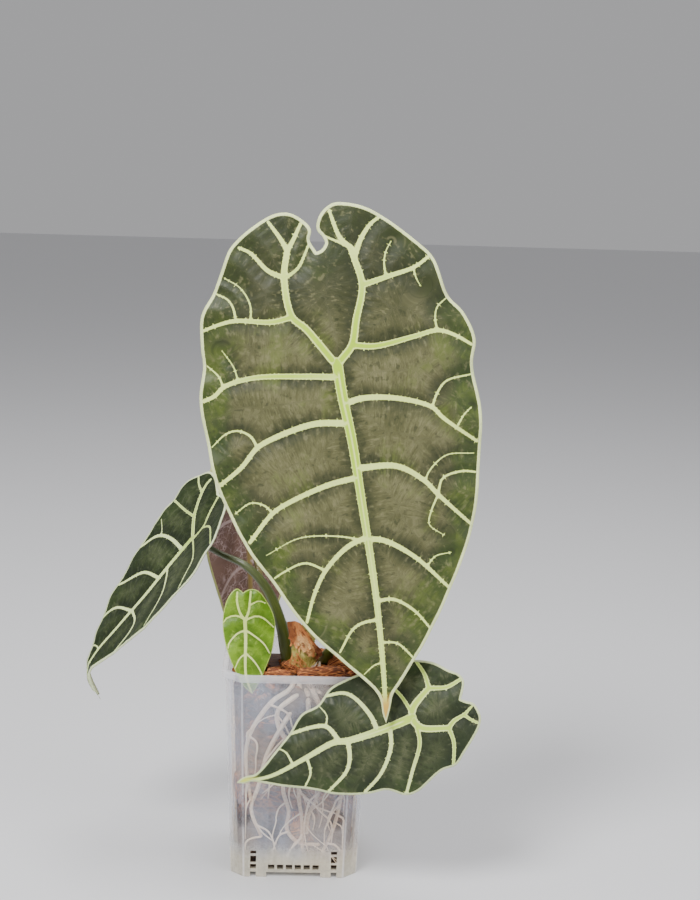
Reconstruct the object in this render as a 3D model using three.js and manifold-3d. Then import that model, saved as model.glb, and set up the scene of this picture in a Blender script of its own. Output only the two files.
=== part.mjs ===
// A jewel alocasia in a clear square nursery pot: five leaves on long stalks, a short upright
// rhizome with its papery sheath, thick roots pressed against the wall, and coarse husk mix.
// Millimetres, +Z up. The pot stands on z = 0 on its feet and its front wall faces -Y.
import * as THREE from "three";
import { mergeVertices } from "three/addons/utils/BufferGeometryUtils.js";
import Module from "manifold-3d";

const wasm = await Module();
wasm.setup();

// Clearance left between neighbouring pieces
const GAP = 0.3;

// The pot: a tapered square with chamfered corners, a proud lip and a raised floor
const POT = {
  height: 100,
  footHalf: 30,
  topHalf: 34,
  footChamfer: 6.5,
  topChamfer: 8,
  wall: 1.2,
  lipProud: 1.5,
  lipHeight: 3,
  skirt: 2.2,
  floorTop: 3.4,
};
const ARCH = { halfWidth: 12.8, height: 2.4 };
const WINDOW = { count: 6, pitch: 4.2, width: 3, bottom: 3.7, top: 6.2 };
const SLOT = { offset: 19.1, width: 2.8, levels: [[3.9, 6.4], [7.1, 10.6], [11.4, 13.2]], notch: 2.6 };
const DRAIN = { pitch: 13, size: 6, perSide: 3 };

// The mix: husk chips over a bed that is lower at the front left, where the small leaf dips in
const MIX = { rim: 92, crown: 3.5, dip: 7, dipAt: [-21, -27], dipReach: 10, sides: 24 };
const CHIPS = { count: 26, length: [9, 20], width: [6, 11], thickness: [3, 6], spread: 24, seed: 11 };
const LARGE_CHIPS = [
  { at: [10, -25, 99], size: [25, 10, 6], turn: 6, tilt: -4 },
  { at: [-9, -25, 98], size: [13, 10, 5], turn: -12, tilt: 9 },
  { at: [21, -8, 99], size: [14, 12, 8], turn: 35, tilt: 12 },
  { at: [-27, -4, 94], size: [12, 9, 6], turn: 70, tilt: 15 },
  { at: [-32, 15, 102.5], size: [19, 10, 3], turn: 0, tilt: 62 },
];

// The rhizome stands in the middle of the pot and every stalk but the small one starts in it
const RHIZOME = {
  axis: [1.5, -3],
  profile: [[0, 58], [4, 59.5], [7, 64], [8.2, 70], [7.6, 74], [8.8, 79], [8.1, 84], [9.2, 89], [8.6, 94], [7, 99], [4, 101.5], [0, 102.5]],
  sides: 14,
};
const SHOOT = { from: [9.2, -9.4, 90], to: [10.2, -11.6, 100.4], radii: [2, 0.5] };
const ROOT = { radii: [1.35, 0.8], sides: 5, steps: 10, inset: 0.6, shoulder: 1.6 };

// Roots that lie along the front wall, as [across, height] on it
const FRONT_ROOTS = [
  [[-4, 92], [-11.4, 87], [-18, 78], [-22, 70], [-23.5, 60], [-22.5, 48], [-20.5, 36]],
  [[0, 90], [-9, 82], [-8, 73], [-2, 64], [1, 50], [2, 37], [3.5, 28], [4, 12]],
  [[5, 88], [4, 72], [-4, 56], [-5.7, 43], [-2.8, 32], [-3.5, 23], [2, 16.5], [12, 15.5]],
  [[8, 90], [13, 76], [14, 58], [10, 39], [6.3, 29], [6, 21]],
  [[12, 88], [20, 76], [22, 52], [21, 36], [17.5, 21], [13, 10.5]],
  [[-3, 81], [-13, 62], [-17.5, 44], [-20.5, 33], [-15.5, 19]],
];
// The other three walls carry two roots each, which wander by a sine
const SIDE_ROOTS = [
  { start: -9, sway: 9, phase: 0.4, bottom: 14 },
  { start: 10, sway: 7, phase: 2.1, bottom: 24 },
];

// Stalks: the way each takes from its base to the back of its blade, and its radii
const STALKS = {
  front: {
    route: [[3, -8, 93], [3.2, -8.5, 101], [4.6, -10.4, 113], [7, -13, 130], [11, -21, 170], [14.2, -31, 215], [14.2, -37, 238]],
    radii: [2.6, 3.9, 3.4, 3.1, 2.8, 2.5, 2.3, 2.2],
  },
  left: {
    route: [[-4.4, -5.4, 92], [-5.4, -5, 100.6], [-8.8, -3, 117], [-15.7, 1, 132.3], [-26, 5, 142.4], [-39.2, 9.4, 147.4]],
    radii: [2.6, 3.1, 2.6, 2.3, 1.9, 1.4, 1.2],
  },
  back: {
    route: [[1, 3, 93], [-1, 7, 101], [-10, 16, 115], [-18, 25, 127], [-21.5, 32, 139], [-25.5, 41, 157]],
    radii: [2.4, 2.3, 2, 1.8, 1.6, 1.5, 1.4],
  },
  right: {
    route: [[9.6, -2.6, 92], [12, -6, 99], [15, -11, 105.5], [25, -22, 113.5], [38, -33, 111.5], [48, -42, 99]],
    radii: [2.4, 2.5, 2.3, 2.1, 1.9, 1.8, 1.7],
  },
  small: {
    route: [[-20, -6, 78], [-22, -7, 92], [-24, -9.5, 107], [-25.2, -14, 118.5]],
    radii: [1.2, 1.4, 1.2, 1, 0.9],
  },
};
const STALK_SIDES = 8;

// The papery sheath at the foot of the front stalk, as rows from its foot to its torn top
const SHEATH = {
  thickness: 0.8,
  rows: [
    [[-6.3, -11.2, 97], [-2.6, -13.4, 96.5], [1.5, -14.2, 96], [5.4, -13.7, 97.5], [8.4, -12.6, 101.6]],
    [[-3.6, -11.4, 102], [-1.2, -13.2, 101.6], [2, -14.2, 101.2], [6.2, -13.7, 101.5], [10.4, -11.4, 102.2]],
    [[-3.6, -10.8, 107.5], [-1.4, -12.9, 107], [2.4, -15.2, 106.4], [7, -14.6, 106.2], [11.2, -11.8, 105.6]],
    [[-4.6, -10.4, 113], [-2.4, -12.8, 113.4], [1.4, -15.4, 113], [5.4, -15.4, 111.8], [8.4, -14, 109.6]],
    [[-5.8, -10, 119.4], [-3.9, -11.6, 120], [-1.6, -13.4, 120.6], [1.2, -15.2, 118.8], [3.6, -15.8, 115.4]],
  ],
};

// Blades. In a blade's own plane x runs across it and y from the stalk's junction to the tip.
// Each margin goes from the notch, round one back lobe, to the tip. A vein is its course and
// its width at either end. Heights stand on the upper face.
const BLADES = {
  front: {
    junction: [13.7, -42, 247],
    tip: [39.8, -59, 87],
    faces: [-0.023, -0.995, 0.102],
    thickness: 0.9,
    spacing: 6,
    shape: { arch: 6, halfWidth: 60, tipDrop: 5, tipReach: 165, lobeDrop: 6, lobeReach: 70, fold: 0, wave: 1.3, waveLength: 34, quilt: 1.3, quiltReach: 5 },
    plusMargin: [
      [2.4, -49.8], [4.7, -55.4], [3.5, -59.7], [5.6, -63.6], [11.7, -68.3], [18.3, -69], [26.3, -66.1],
      [39.7, -57.2], [44.9, -48.5], [50.4, -38.1], [57, -28.5], [59.1, -14.7], [59.5, -6], [63, 8.2],
      [62.7, 25.9], [60.6, 48.4], [51.1, 77.3], [41.5, 94.9], [29.6, 116.6], [10.4, 139.4], [3.4, 147.8],
      [1.2, 153], [0.9, 159.8], [0, 164.2],
    ],
    minusMargin: [
      [2.4, -49.8], [0.4, -50.4], [-1.9, -53.2], [-1.2, -56], [0.9, -59.4], [0.4, -63], [-2.5, -67.4],
      [-7.2, -70.2], [-12.2, -70], [-23.7, -65.5], [-43.5, -47.4], [-48.6, -40.8], [-53, -23.2],
      [-58.9, -14.8], [-62.5, -2.2], [-60, 8], [-61, 29.6], [-57.7, 51.3], [-50.8, 79.9], [-41.3, 99.5],
      [-25.6, 125.1], [-8.7, 146.7], [-4.9, 151.3], [-2.7, 157.5], [0, 164.2],
    ],
    veins: [
      { course: [[0, 0], [-0.3, 14], [-2.2, 40], [-2.6, 70], [-3.2, 105], [-2.4, 135], [0, 160]], width: [4.8, 1.6] },
      { course: [[1, -1], [7.1, -9.9], [16.5, -22.5], [18.3, -40], [15.2, -52]], width: [3.5, 2.6] },
      { course: [[15.2, -52], [18, -59], [21.9, -65.9]], width: [2.2, 1.3] },
      { course: [[15.2, -52], [11.4, -57.2], [6.9, -64.2]], width: [2.2, 1.3] },
      { course: [[18.4, -40.5], [28, -47], [36.2, -56.3]], width: [2.2, 1.3] },
      { course: [[17, -22.8], [26, -21.8], [42, -24.5], [57.2, -22]], width: [2.6, 1.3] },
      { course: [[-1, -1], [-7.6, -7], [-12.5, -23], [-15.6, -33], [-12.6, -50]], width: [3.5, 2.6] },
      { course: [[-12.6, -50], [-8.8, -54.5], [-5.6, -67.5]], width: [2.2, 1.3] },
      { course: [[-14, -46], [-18, -53.3], [-27.2, -61.5]], width: [2.6, 1.3] },
      { course: [[-15.6, -32.6], [-27.6, -35], [-39.6, -37.5], [-47.4, -41.8]], width: [2.6, 1.3] },
      { course: [[-8.5, -8], [-17.7, -5.2], [-35.9, -7.2], [-46.4, -8.4], [-60.4, -0.2]], width: [3, 1.3] },
      { course: [[0, 6.3], [14.8, 4], [37.9, 1.6], [51.5, 3.9], [61.1, 8.9]], width: [2.8, 1.7] },
      { course: [[-1, 27.5], [13.8, 25.4], [33.2, 29.6], [48.4, 40.3], [59.1, 47.2]], width: [3, 1.7] },
      { course: [[40.4, 32.5], [47.8, 24.3], [60, 29]], width: [1.3, 0.8] },
      { course: [[-2.4, 51.5], [11.3, 53.2], [31, 59.3], [49.5, 74.3]], width: [2.6, 1.7] },
      { course: [[-2.4, 78.6], [6.7, 82], [17.4, 91], [24.2, 101.6], [29.1, 113.4]], width: [2.4, 1.3] },
      { course: [[17.8, 91], [26.3, 86.7], [40.6, 91.8]], width: [1.3, 0.8] },
      { course: [[-3.2, 116.3], [9, 119.2], [16.2, 128.9]], width: [1.5, 0.9] },
      { course: [[-0.6, 18.4], [-15.8, 16.9], [-32.5, 21.9], [-43.3, 30.2], [-57.4, 43.1]], width: [2.8, 1.3] },
      { course: [[-39.3, 25.1], [-47, 14.5], [-58.6, 13]], width: [1.3, 0.8] },
      { course: [[-2.5, 47.4], [-20.3, 49], [-36.4, 63.6], [-49.9, 79.7]], width: [3, 1.3] },
      { course: [[-36.9, 63.6], [-44.3, 55.4], [-54.7, 56.6]], width: [1.3, 0.8] },
      { course: [[-2.7, 79.5], [-16.1, 85.1], [-35.9, 106]], width: [2.6, 1.3] },
      { course: [[-3.1, 108], [-14.4, 110.1], [-25.8, 124.2]], width: [1.7, 0.9] },
      { course: [[-3, 127], [-9.8, 128.3], [-16.8, 136.8]], width: [1.1, 0.8] },
    ],
  },
  right: {
    junction: [52.3, -50, 86.8],
    tip: [-25.7, -42, 51.7],
    faces: [-0.214, -0.941, 0.261],
    thickness: 0.9,
    spacing: 4.6,
    shape: { arch: 3, halfWidth: 30, tipDrop: 2, tipReach: 80, lobeDrop: 3, lobeReach: 30, fold: 0, wave: 1.1, waveLength: 19, quilt: 0.9, quiltReach: 3.6 },
    plusMargin: [
      [0.2, -23.6], [2.8, -25.5], [7.3, -27.6], [11, -26.6], [14.3, -23], [20.2, -17.4], [25, -7],
      [26.9, 7.3], [26.6, 24.4], [25.4, 32], [20.3, 39.6], [19, 48.1], [12.2, 57.3], [7.7, 65],
      [2.9, 73.1], [0.8, 78.6], [1.3, 82.6], [1.1, 85.6], [0, 88.2],
    ],
    minusMargin: [
      [0.2, -23.6], [-1.4, -25.3], [-3.4, -28], [-6.6, -29.1], [-10.7, -29], [-14.8, -26.5], [-23.3, -16],
      [-26.8, -10.6], [-26.9, -4], [-32, 9.9], [-31.8, 15.2], [-26.7, 22.5], [-25.3, 31.8], [-19.7, 47.5],
      [-15.5, 53.9], [-8.5, 68.3], [-3.6, 77.4], [-1.8, 81], [-1.5, 84.6], [0, 88.2],
    ],
    veins: [
      { course: [[0, 0], [0, 18], [1.4, 37.7], [-0.5, 54.1], [-2.4, 71.6], [0, 84]], width: [3.9, 1.1] },
      { course: [[1.5, -0.5], [4.6, -2.5], [9.8, -11.7]], width: [3.5, 2.6] },
      { course: [[9.8, -11.7], [16.5, -12], [23.4, -10.2]], width: [2.2, 1.3] },
      { course: [[9.8, -11.7], [7.4, -19.5], [8.6, -26.7]], width: [2.2, 1.5] },
      { course: [[-0.7, -0.5], [-6.1, -2.8], [-10.1, -13.9]], width: [3.5, 2.6] },
      { course: [[-10.1, -13.9], [-7.9, -17.1], [-5.5, -24.8]], width: [2.4, 1.2] },
      { course: [[-10.1, -13.9], [-16.7, -13.7], [-25.5, -9.7]], width: [2, 1.3] },
      { course: [[3, -0.4], [14.8, 3.2], [26, 7.5]], width: [1.7, 1.1] },
      { course: [[0.7, 17.2], [13.1, 19.6], [21.3, 26.2], [23.4, 34.7]], width: [2.2, 1.3] },
      { course: [[1, 35.5], [10, 39.2], [12.2, 52]], width: [2.2, 1.3] },
      { course: [[-0.9, 59.8], [5.3, 61.1]], width: [1.1, 0.7] },
      { course: [[-3.3, -0.8], [-11.9, 0.9], [-22.5, 8.8], [-30.5, 14.7]], width: [2, 1.3] },
      { course: [[-0.5, 11.2], [-9.1, 14], [-18.5, 22.4], [-24, 32.8]], width: [2, 1.3] },
      { course: [[0.2, 31.8], [-6.9, 33.5], [-15.2, 42.5], [-17.8, 48.3]], width: [2.2, 1.1] },
      { course: [[-0.3, 52.5], [-7.5, 53.3], [-12.6, 58.2]], width: [1.3, 0.7] },
    ],
  },
  left: {
    junction: [-51.5, 8, 154.9],
    tip: [-100.1, 2, 87.1],
    faces: [-0.731, -0.392, 0.559],
    thickness: 0.9,
    spacing: 5,
    shape: { arch: 0, halfWidth: 30, tipDrop: 2, tipReach: 84, lobeDrop: 2, lobeReach: 30, fold: 0.105, wave: 0.5, waveLength: 22, quilt: 0.5, quiltReach: 4, tailFrom: 80, tailDrop: 0.085 },
    plusMargin: [
      [7.3, -23.5], [13, -26.4], [20, -28.2], [26, -27.8], [31.5, -22], [34.6, -13], [35, -3], [34, 8],
      [33.8, 18], [31.2, 31], [29.4, 44], [26.6, 54], [22.6, 64], [17, 73], [13.4, 80], [11, 85.5], [10.2, 88],
      [10, 91], [9.2, 93.8],
    ],
    minusMargin: [
      [7.3, -23.5], [0.7, -24.4], [-7.3, -22.5], [-16, -15], [-22.2, -7], [-26, 2], [-27.1, 12],
      [-25.4, 22], [-22.4, 32], [-19.6, 42], [-15, 51], [-8, 61.5], [-1.8, 71], [3.8, 79.5], [6.9, 85],
      [7.8, 88], [8, 91], [9.2, 93.8],
    ],
    veins: [
      { course: [[0, 0], [2.2, 19], [3.5, 35], [7.2, 57], [9.6, 74], [9.2, 88]], width: [2.9, 1.1] },
      { course: [[1.7, -1], [10.7, -7.7], [18.2, -18.2], [20.4, -25.4]], width: [2.4, 1.5] },
      { course: [[10.2, -7.4], [19.6, -6.1], [34, -5.4]], width: [1.6, 1.1] },
      { course: [[-1, -0.6], [-2, -7], [1.4, -12.8], [5.6, -22]], width: [1.9, 1.1] },
      { course: [[-1.6, -6.8], [-8, -9.6], [-20.6, -6.8]], width: [1.3, 0.8] },
      { course: [[1.4, 7.6], [13.3, 8.4], [25, 12.8], [32.8, 22.5]], width: [2.1, 1.3] },
      { course: [[3.4, 26], [15.2, 29.5], [24.9, 40.5], [28.6, 46]], width: [1.8, 1.3] },
      { course: [[5.6, 47.1], [17.2, 52], [23.4, 62]], width: [1.6, 1.1] },
      { course: [[-0.8, 1], [-14, 5.4], [-24.6, 20]], width: [1.3, 0.8] },
      { course: [[2.3, 19.3], [-4.8, 23.7], [-12.7, 34], [-16.4, 45]], width: [1.5, 0.8] },
      { course: [[5.2, 46.7], [-3, 50], [-4.6, 62]], width: [1.5, 0.9] },
    ],
  },
  back: {
    junction: [-27.2, 47, 162.4],
    tip: [-23.3, 41.2, 67.5],
    faces: [-0.339, 0.938, -0.071],
    thickness: 0.9,
    spacing: 6.2,
    shape: { arch: 3, halfWidth: 25, tipDrop: 3, tipReach: 85, lobeDrop: 3, lobeReach: 35, fold: 0, wave: 0.8, waveLength: 24, quilt: 0.8, quiltReach: 4 },
    plusMargin: [
      [0.5, -20], [3, -26], [8, -31], [14, -31], [19, -25.5], [22.5, -16], [24, -4], [24, 10], [22.6, 22],
      [19.8, 35], [16, 48], [11.4, 61], [6.4, 74], [2.2, 86], [0, 95],
    ],
    minusMargin: [
      [0.5, -20], [-2, -26], [-7, -30.5], [-13, -30], [-18.5, -22], [-22, -10], [-23.4, 4], [-22.8, 18],
      [-20.4, 30], [-16.8, 43], [-13.4, 54], [-8, 69], [-3.4, 83], [0, 95],
    ],
    veins: [
      { course: [[0, 0], [0.4, 24], [0.4, 55], [0, 90]], width: [2.6, 1] },
      { course: [[0.8, -1], [5, -10], [9, -19], [9.6, -29]], width: [1.9, 1.1] },
      { course: [[6.6, -13], [13, -15], [21.8, -12]], width: [1.3, 0.9] },
      { course: [[-0.8, -1], [-5, -10], [-8.4, -19], [-8.8, -28.6]], width: [1.9, 1.1] },
      { course: [[-6.2, -13], [-12.6, -15], [-20.8, -10]], width: [1.3, 0.9] },
      { course: [[0.4, 6], [9, 5], [18, 10], [22.6, 19]], width: [1.6, 1] },
      { course: [[0.4, 6], [-8.6, 6], [-17.6, 11], [-21.6, 21]], width: [1.6, 1] },
      { course: [[0.4, 27], [8, 29], [15, 38], [17, 43]], width: [1.5, 0.9] },
      { course: [[0.4, 29], [-7.4, 32], [-13.4, 40], [-15.4, 45]], width: [1.5, 0.9] },
      { course: [[0.4, 48], [6.4, 52], [10.8, 61]], width: [1.2, 0.8] },
      { course: [[0.4, 50], [-5.6, 54], [-9.6, 63]], width: [1.2, 0.8] },
    ],
  },
  small: {
    junction: [-25.4, -19, 122.3],
    tip: [-21.2, -28.5, 89.5],
    faces: [0.023, -0.96, 0.28],
    thickness: 0.7,
    spacing: 3.2,
    shape: { arch: 1.2, halfWidth: 12, tipDrop: 1.5, tipReach: 35, lobeDrop: 1, lobeReach: 15, fold: 0, wave: 0.3, waveLength: 12, quilt: 0.5, quiltReach: 2 },
    plusMargin: [
      [-0.3, -12.8], [0.8, -14.1], [2.3, -15], [4.8, -13.6], [7.5, -10.1], [9.6, -4.7], [10.6, 1.3],
      [10.4, 8.3], [9, 16.1], [7, 22.4], [4.2, 29.4], [0, 34.5],
    ],
    minusMargin: [
      [-0.3, -12.8], [-2.3, -13.8], [-5.4, -14], [-8.2, -12.3], [-10.7, -8.3], [-13, -2.9], [-13.9, 2.3],
      [-13.1, 8.3], [-11.2, 15.6], [-8.2, 21.8], [-4.3, 28.9], [0, 34.5],
    ],
    veins: [
      { course: [[0, 0], [0.6, 9.7], [1.7, 22], [0.4, 33]], width: [1.7, 0.8] },
      { course: [[0.2, -0.5], [2.6, -5.9], [2.3, -13.3]], width: [1.1, 0.8] },
      { course: [[-0.3, -0.4], [-2.9, -6.3], [-4, -13]], width: [1.1, 0.8] },
      { course: [[0.4, -0.5], [5.9, -2.5], [10, -0.1]], width: [0.9, 0.6] },
      { course: [[-0.5, 0], [-5.3, -1.3], [-13, 4.6]], width: [0.9, 0.6] },
      { course: [[0.5, 4.9], [6.3, 7.3], [9.1, 12.1]], width: [0.9, 0.6] },
      { course: [[0.2, 4.7], [-5.2, 8.9], [-9.9, 16.4]], width: [0.9, 0.6] },
      { course: [[1.3, 15.7], [6.7, 21.7]], width: [0.8, 0.5] },
      { course: [[1.2, 15.3], [-3.6, 20.9], [-5.4, 27.1]], width: [0.9, 0.6] },
    ],
  },
};
const RIB_STAND = 0.4;

// Finishes
const FINISH = {
  pot: { color: 0xd9d6ea, roughness: 0.35, metalness: 0 },
  mix: { color: 0x4a2a1c, roughness: 0.95, metalness: 0 },
  rhizome: { color: 0xc9b98a, roughness: 0.7, metalness: 0 },
  sheath: { color: 0xa86a3c, roughness: 0.8, metalness: 0 },
  stalk: { color: 0x6f8a3a, roughness: 0.5, metalness: 0 },
  darkBlade: { color: 0x3f4a35, roughness: 0.4, metalness: 0 },
  purpleBlade: { color: 0x5a4058, roughness: 0.5, metalness: 0 },
  youngBlade: { color: 0x86a83a, roughness: 0.4, metalness: 0 },
};

const vec = (p) => new THREE.Vector3(...p);
const lerp = THREE.MathUtils.lerp;

// A repeatable stream of numbers from 0 to 1
function seededRandom(seed) {
  let state = seed;
  return () => {
    state = (state * 1664525 + 1013904223) % 4294967296;
    return state / 4294967296;
  };
}

// A closed geometry from points and triangles, turned to face out
function closedGeometry(points, faces) {
  let volume = 0;
  for (const [a, b, c] of faces) {
    volume += points[a].dot(new THREE.Vector3().crossVectors(points[b], points[c]));
  }
  const facing = volume < 0 ? faces.map(([a, b, c]) => [a, c, b]) : faces;
  const geometry = new THREE.BufferGeometry().setFromPoints(points);
  geometry.setIndex(facing.flat());
  return geometry;
}

function solidOf(geometry) {
  const bare = new THREE.BufferGeometry();
  bare.setAttribute("position", geometry.getAttribute("position"));
  bare.setIndex(geometry.getIndex());
  const merged = mergeVertices(bare, 1e-4);
  const numbers = {
    numProp: 3,
    vertProperties: new Float32Array(merged.attributes.position.array),
    triVerts: new Uint32Array(merged.index.array),
  };
  return new wasm.Manifold(new wasm.Mesh(numbers));
}

// The largest body of a solid, without the loose scraps that a cut can leave
function largestBody(solid) {
  const bodies = solid.decompose();
  return bodies.reduce((best, body) => (body.volume() > best.volume() ? body : best));
}

function geometryOf(solid) {
  const mesh = largestBody(solid).getMesh();
  const geometry = new THREE.BufferGeometry();
  geometry.setAttribute("position", new THREE.BufferAttribute(mesh.vertProperties, 3));
  geometry.setIndex(new THREE.BufferAttribute(mesh.triVerts, 1));
  return geometry;
}

const joined = (solids) => solids.reduce((whole, piece) => whole.add(piece));
const cutBy = (solid, cutters) => cutters.reduce((left, cutter) => left.subtract(cutter), solid);

// A box from its size, middle and turn
function boxSolid(size, middle, turnZ = 0) {
  const geometry = new THREE.BoxGeometry(...size);
  geometry.translate(...middle);
  geometry.rotateZ(turnZ);
  return solidOf(geometry);
}

// A closed loft through rings of equal count, capped at its first and last ring
function loft(rings) {
  const count = rings[0].length;
  const points = rings.flat();
  const faces = [];
  for (let level = 0; level + 1 < rings.length; level += 1) {
    for (let i = 0; i < count; i += 1) {
      const next = (i + 1) % count;
      const low = level * count;
      faces.push([low + i, low + next, low + count + next], [low + i, low + count + next, low + count + i]);
    }
  }
  const last = (rings.length - 1) * count;
  for (let i = 1; i + 1 < count; i += 1) {
    faces.push([0, i + 1, i], [last, last + i, last + i + 1]);
  }
  return closedGeometry(points, faces);
}

// A tube along a smooth route whose radius changes from point to point
function taperedTube(route, radii, sides, steps, grow = 0) {
  const curve = new THREE.CatmullRomCurve3(route.map(vec));
  const frames = curve.computeFrenetFrames(steps, false);
  const endShift = (step) => (step === steps ? grow : 0) - (step === 0 ? grow : 0);
  const rings = [];
  for (let step = 0; step <= steps; step += 1) {
    const place = (step / steps) * (radii.length - 1);
    const whole = Math.min(Math.floor(place), radii.length - 2);
    const radius = lerp(radii[whole], radii[whole + 1], place - whole) + grow;
    const middle = curve.getPoint(step / steps).addScaledVector(frames.tangents[step], endShift(step));
    const ring = [];
    for (let side = 0; side < sides; side += 1) {
      const angle = (2 * Math.PI * side) / sides;
      const out = frames.normals[step].clone().multiplyScalar(Math.cos(angle) * radius);
      out.addScaledVector(frames.binormals[step], Math.sin(angle) * radius);
      ring.push(middle.clone().add(out));
    }
    rings.push(ring);
  }
  return loft(rings);
}

// The pot's outline at a height: a square with chamfered corners, drawn in by an inset
function potRing(z, inset, height = z) {
  const share = height / POT.height;
  const half = lerp(POT.footHalf, POT.topHalf, share) - inset;
  const chamfer = lerp(POT.footChamfer, POT.topChamfer, share) - inset * 0.586;
  const near = half - chamfer;
  const corners = [[near, -half], [half, -near], [half, near], [near, half], [-near, half], [-half, near], [-half, -near], [-near, -half]];
  return corners.map(([x, y]) => new THREE.Vector3(x, y, z));
}

function potSolid() {
  const lipBottom = POT.height - POT.lipHeight;
  const shell = loft([
    potRing(POT.skirt, POT.wall),
    potRing(0, POT.wall),
    potRing(0, 0),
    potRing(lipBottom, 0),
    potRing(lipBottom, -POT.lipProud),
    potRing(POT.height, -POT.lipProud),
    potRing(POT.height, POT.wall),
    potRing(POT.floorTop, POT.wall),
  ]);
  const cutters = [];
  for (let side = 0; side < 4; side += 1) {
    const turn = (side * Math.PI) / 2;
    const through = (width, low, high, x) => {
      const middle = [x, -POT.footHalf, (low + high) / 2];
      cutters.push(boxSolid([width, 3, high - low], middle, turn));
    };
    through(2 * ARCH.halfWidth, -1, ARCH.height, 0);
    for (let i = 0; i < WINDOW.count; i += 1) {
      through(WINDOW.width, WINDOW.bottom, WINDOW.top, (i - (WINDOW.count - 1) / 2) * WINDOW.pitch);
    }
    for (const x of [-SLOT.offset, SLOT.offset]) {
      through(SLOT.width, -1, SLOT.notch, x);
      SLOT.levels.forEach(([low, high]) => through(SLOT.width, low, high, x));
    }
  }
  for (let i = 0; i < DRAIN.perSide; i += 1) {
    for (let j = 0; j < DRAIN.perSide; j += 1) {
      const place = [(i - 1) * DRAIN.pitch, (j - 1) * DRAIN.pitch, POT.floorTop];
      cutters.push(boxSolid([DRAIN.size, DRAIN.size, 4], place));
    }
  }
  return cutBy(solidOf(shell), cutters);
}

// Distance from a point to a polyline in the plane, and how far along it the nearest point is
function nearestOnCourse(points, x, y) {
  let best = { distance: Infinity, along: 0 };
  for (let i = 0; i + 1 < points.length; i += 1) {
    const [ax, ay] = points[i];
    const [dx, dy] = [points[i + 1][0] - ax, points[i + 1][1] - ay];
    const t = THREE.MathUtils.clamp(((x - ax) * dx + (y - ay) * dy) / (dx * dx + dy * dy), 0, 1);
    const distance = Math.hypot(x - ax - t * dx, y - ay - t * dy);
    if (distance < best.distance) best = { distance, along: (i + t) / (points.length - 1) };
  }
  return best;
}

// Points at about equal steps along a smooth plane curve
function spacedPoints(course, step) {
  const curve = new THREE.CatmullRomCurve3(course.map(([x, y]) => new THREE.Vector3(x, y, 0)), false, "centripetal");
  const count = Math.max(2, Math.round(curve.getLength() / step));
  return curve.getSpacedPoints(count).map((p) => [p.x, p.y]);
}

function isInside(outline, x, y) {
  let inside = false;
  for (let i = 0, j = outline.length - 1; i < outline.length; j = i, i += 1) {
    const [xi, yi] = outline[i];
    const [xj, yj] = outline[j];
    if (yi > y !== yj > y && x < ((xj - xi) * (y - yi)) / (yj - yi) + xi) inside = !inside;
  }
  return inside;
}

// The circle through three points, as its middle and squared radius
function circleThrough([ax, ay], [bx, by], [cx, cy]) {
  const twice = 2 * (ax * (by - cy) + bx * (cy - ay) + cx * (ay - by));
  const [a, b, c] = [ax * ax + ay * ay, bx * bx + by * by, cx * cx + cy * cy];
  const x = (a * (by - cy) + b * (cy - ay) + c * (ay - by)) / twice;
  const y = (a * (cx - bx) + b * (ax - cx) + c * (bx - ax)) / twice;
  return { x, y, r2: (ax - x) ** 2 + (ay - y) ** 2 };
}

// Delaunay triangles of points in a plane, added one by one
function triangulate(points) {
  const far = 4000;
  const all = [...points, [-far, -far], [far, -far], [0, far]];
  const start = [points.length, points.length + 1, points.length + 2];
  let triangles = [{ corners: start, circle: circleThrough(...start.map((i) => all[i])) }];
  points.forEach(([x, y], index) => {
    const rim = new Map();
    const kept = [];
    for (const triangle of triangles) {
      const { circle, corners } = triangle;
      if ((x - circle.x) ** 2 + (y - circle.y) ** 2 >= circle.r2) {
        kept.push(triangle);
        continue;
      }
      for (let k = 0; k < 3; k += 1) {
        const [a, b] = [corners[k], corners[(k + 1) % 3]];
        if (!rim.delete(`${b},${a}`)) rim.set(`${a},${b}`, [a, b]);
      }
    }
    for (const [a, b] of rim.values()) {
      kept.push({ corners: [a, b, index], circle: circleThrough(all[a], all[b], all[index]) });
    }
    triangles = kept;
  });
  return triangles.map((t) => t.corners).filter((t) => t.every((i) => i < points.length));
}

// A blade's plane mesh: its margin, points on its veins, and an even fill between
function planeMesh(blade) {
  const random = seededRandom(7);
  const { spacing } = blade;
  const plus = spacedPoints(blade.plusMargin, spacing * 0.62);
  const minus = spacedPoints(blade.minusMargin, spacing * 0.62);
  const outline = [...plus, ...minus.slice(1, -1).reverse()];
  const points = [...outline];
  const clearOf = (x, y, reach) => points.every(([px, py]) => Math.hypot(x - px, y - py) > reach);
  const addInside = (x, y, reach) => {
    if (isInside(outline, x, y) && clearOf(x, y, reach)) points.push([x, y]);
  };
  blade.veins.forEach(({ course }) => {
    spacedPoints(course, spacing * 0.8).forEach(([x, y]) => addInside(x, y, spacing * 0.45));
  });
  const rowStep = spacing * Math.sqrt(0.75);
  for (let row = -30; row <= 40; row += 1) {
    for (let column = -30; column <= 30; column += 1) {
      const x = (column + (row % 2 ? 0.5 : 0)) * spacing + 0.02 * random();
      addInside(x, row * rowStep + 0.02 * random(), spacing * 0.72);
    }
  }
  const area = ([a, b, c]) => {
    const [[ax, ay], [bx, by], [cx, cy]] = [points[a], points[b], points[c]];
    return (bx - ax) * (cy - ay) - (by - ay) * (cx - ax);
  };
  const middleInside = (t) => {
    const x = (points[t[0]][0] + points[t[1]][0] + points[t[2]][0]) / 3;
    const y = (points[t[0]][1] + points[t[1]][1] + points[t[2]][1]) / 3;
    return isInside(outline, x, y);
  };
  const triangles = triangulate(points).filter((t) => Math.abs(area(t)) > 0.05 && middleInside(t));
  return { points, triangles };
}

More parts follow.
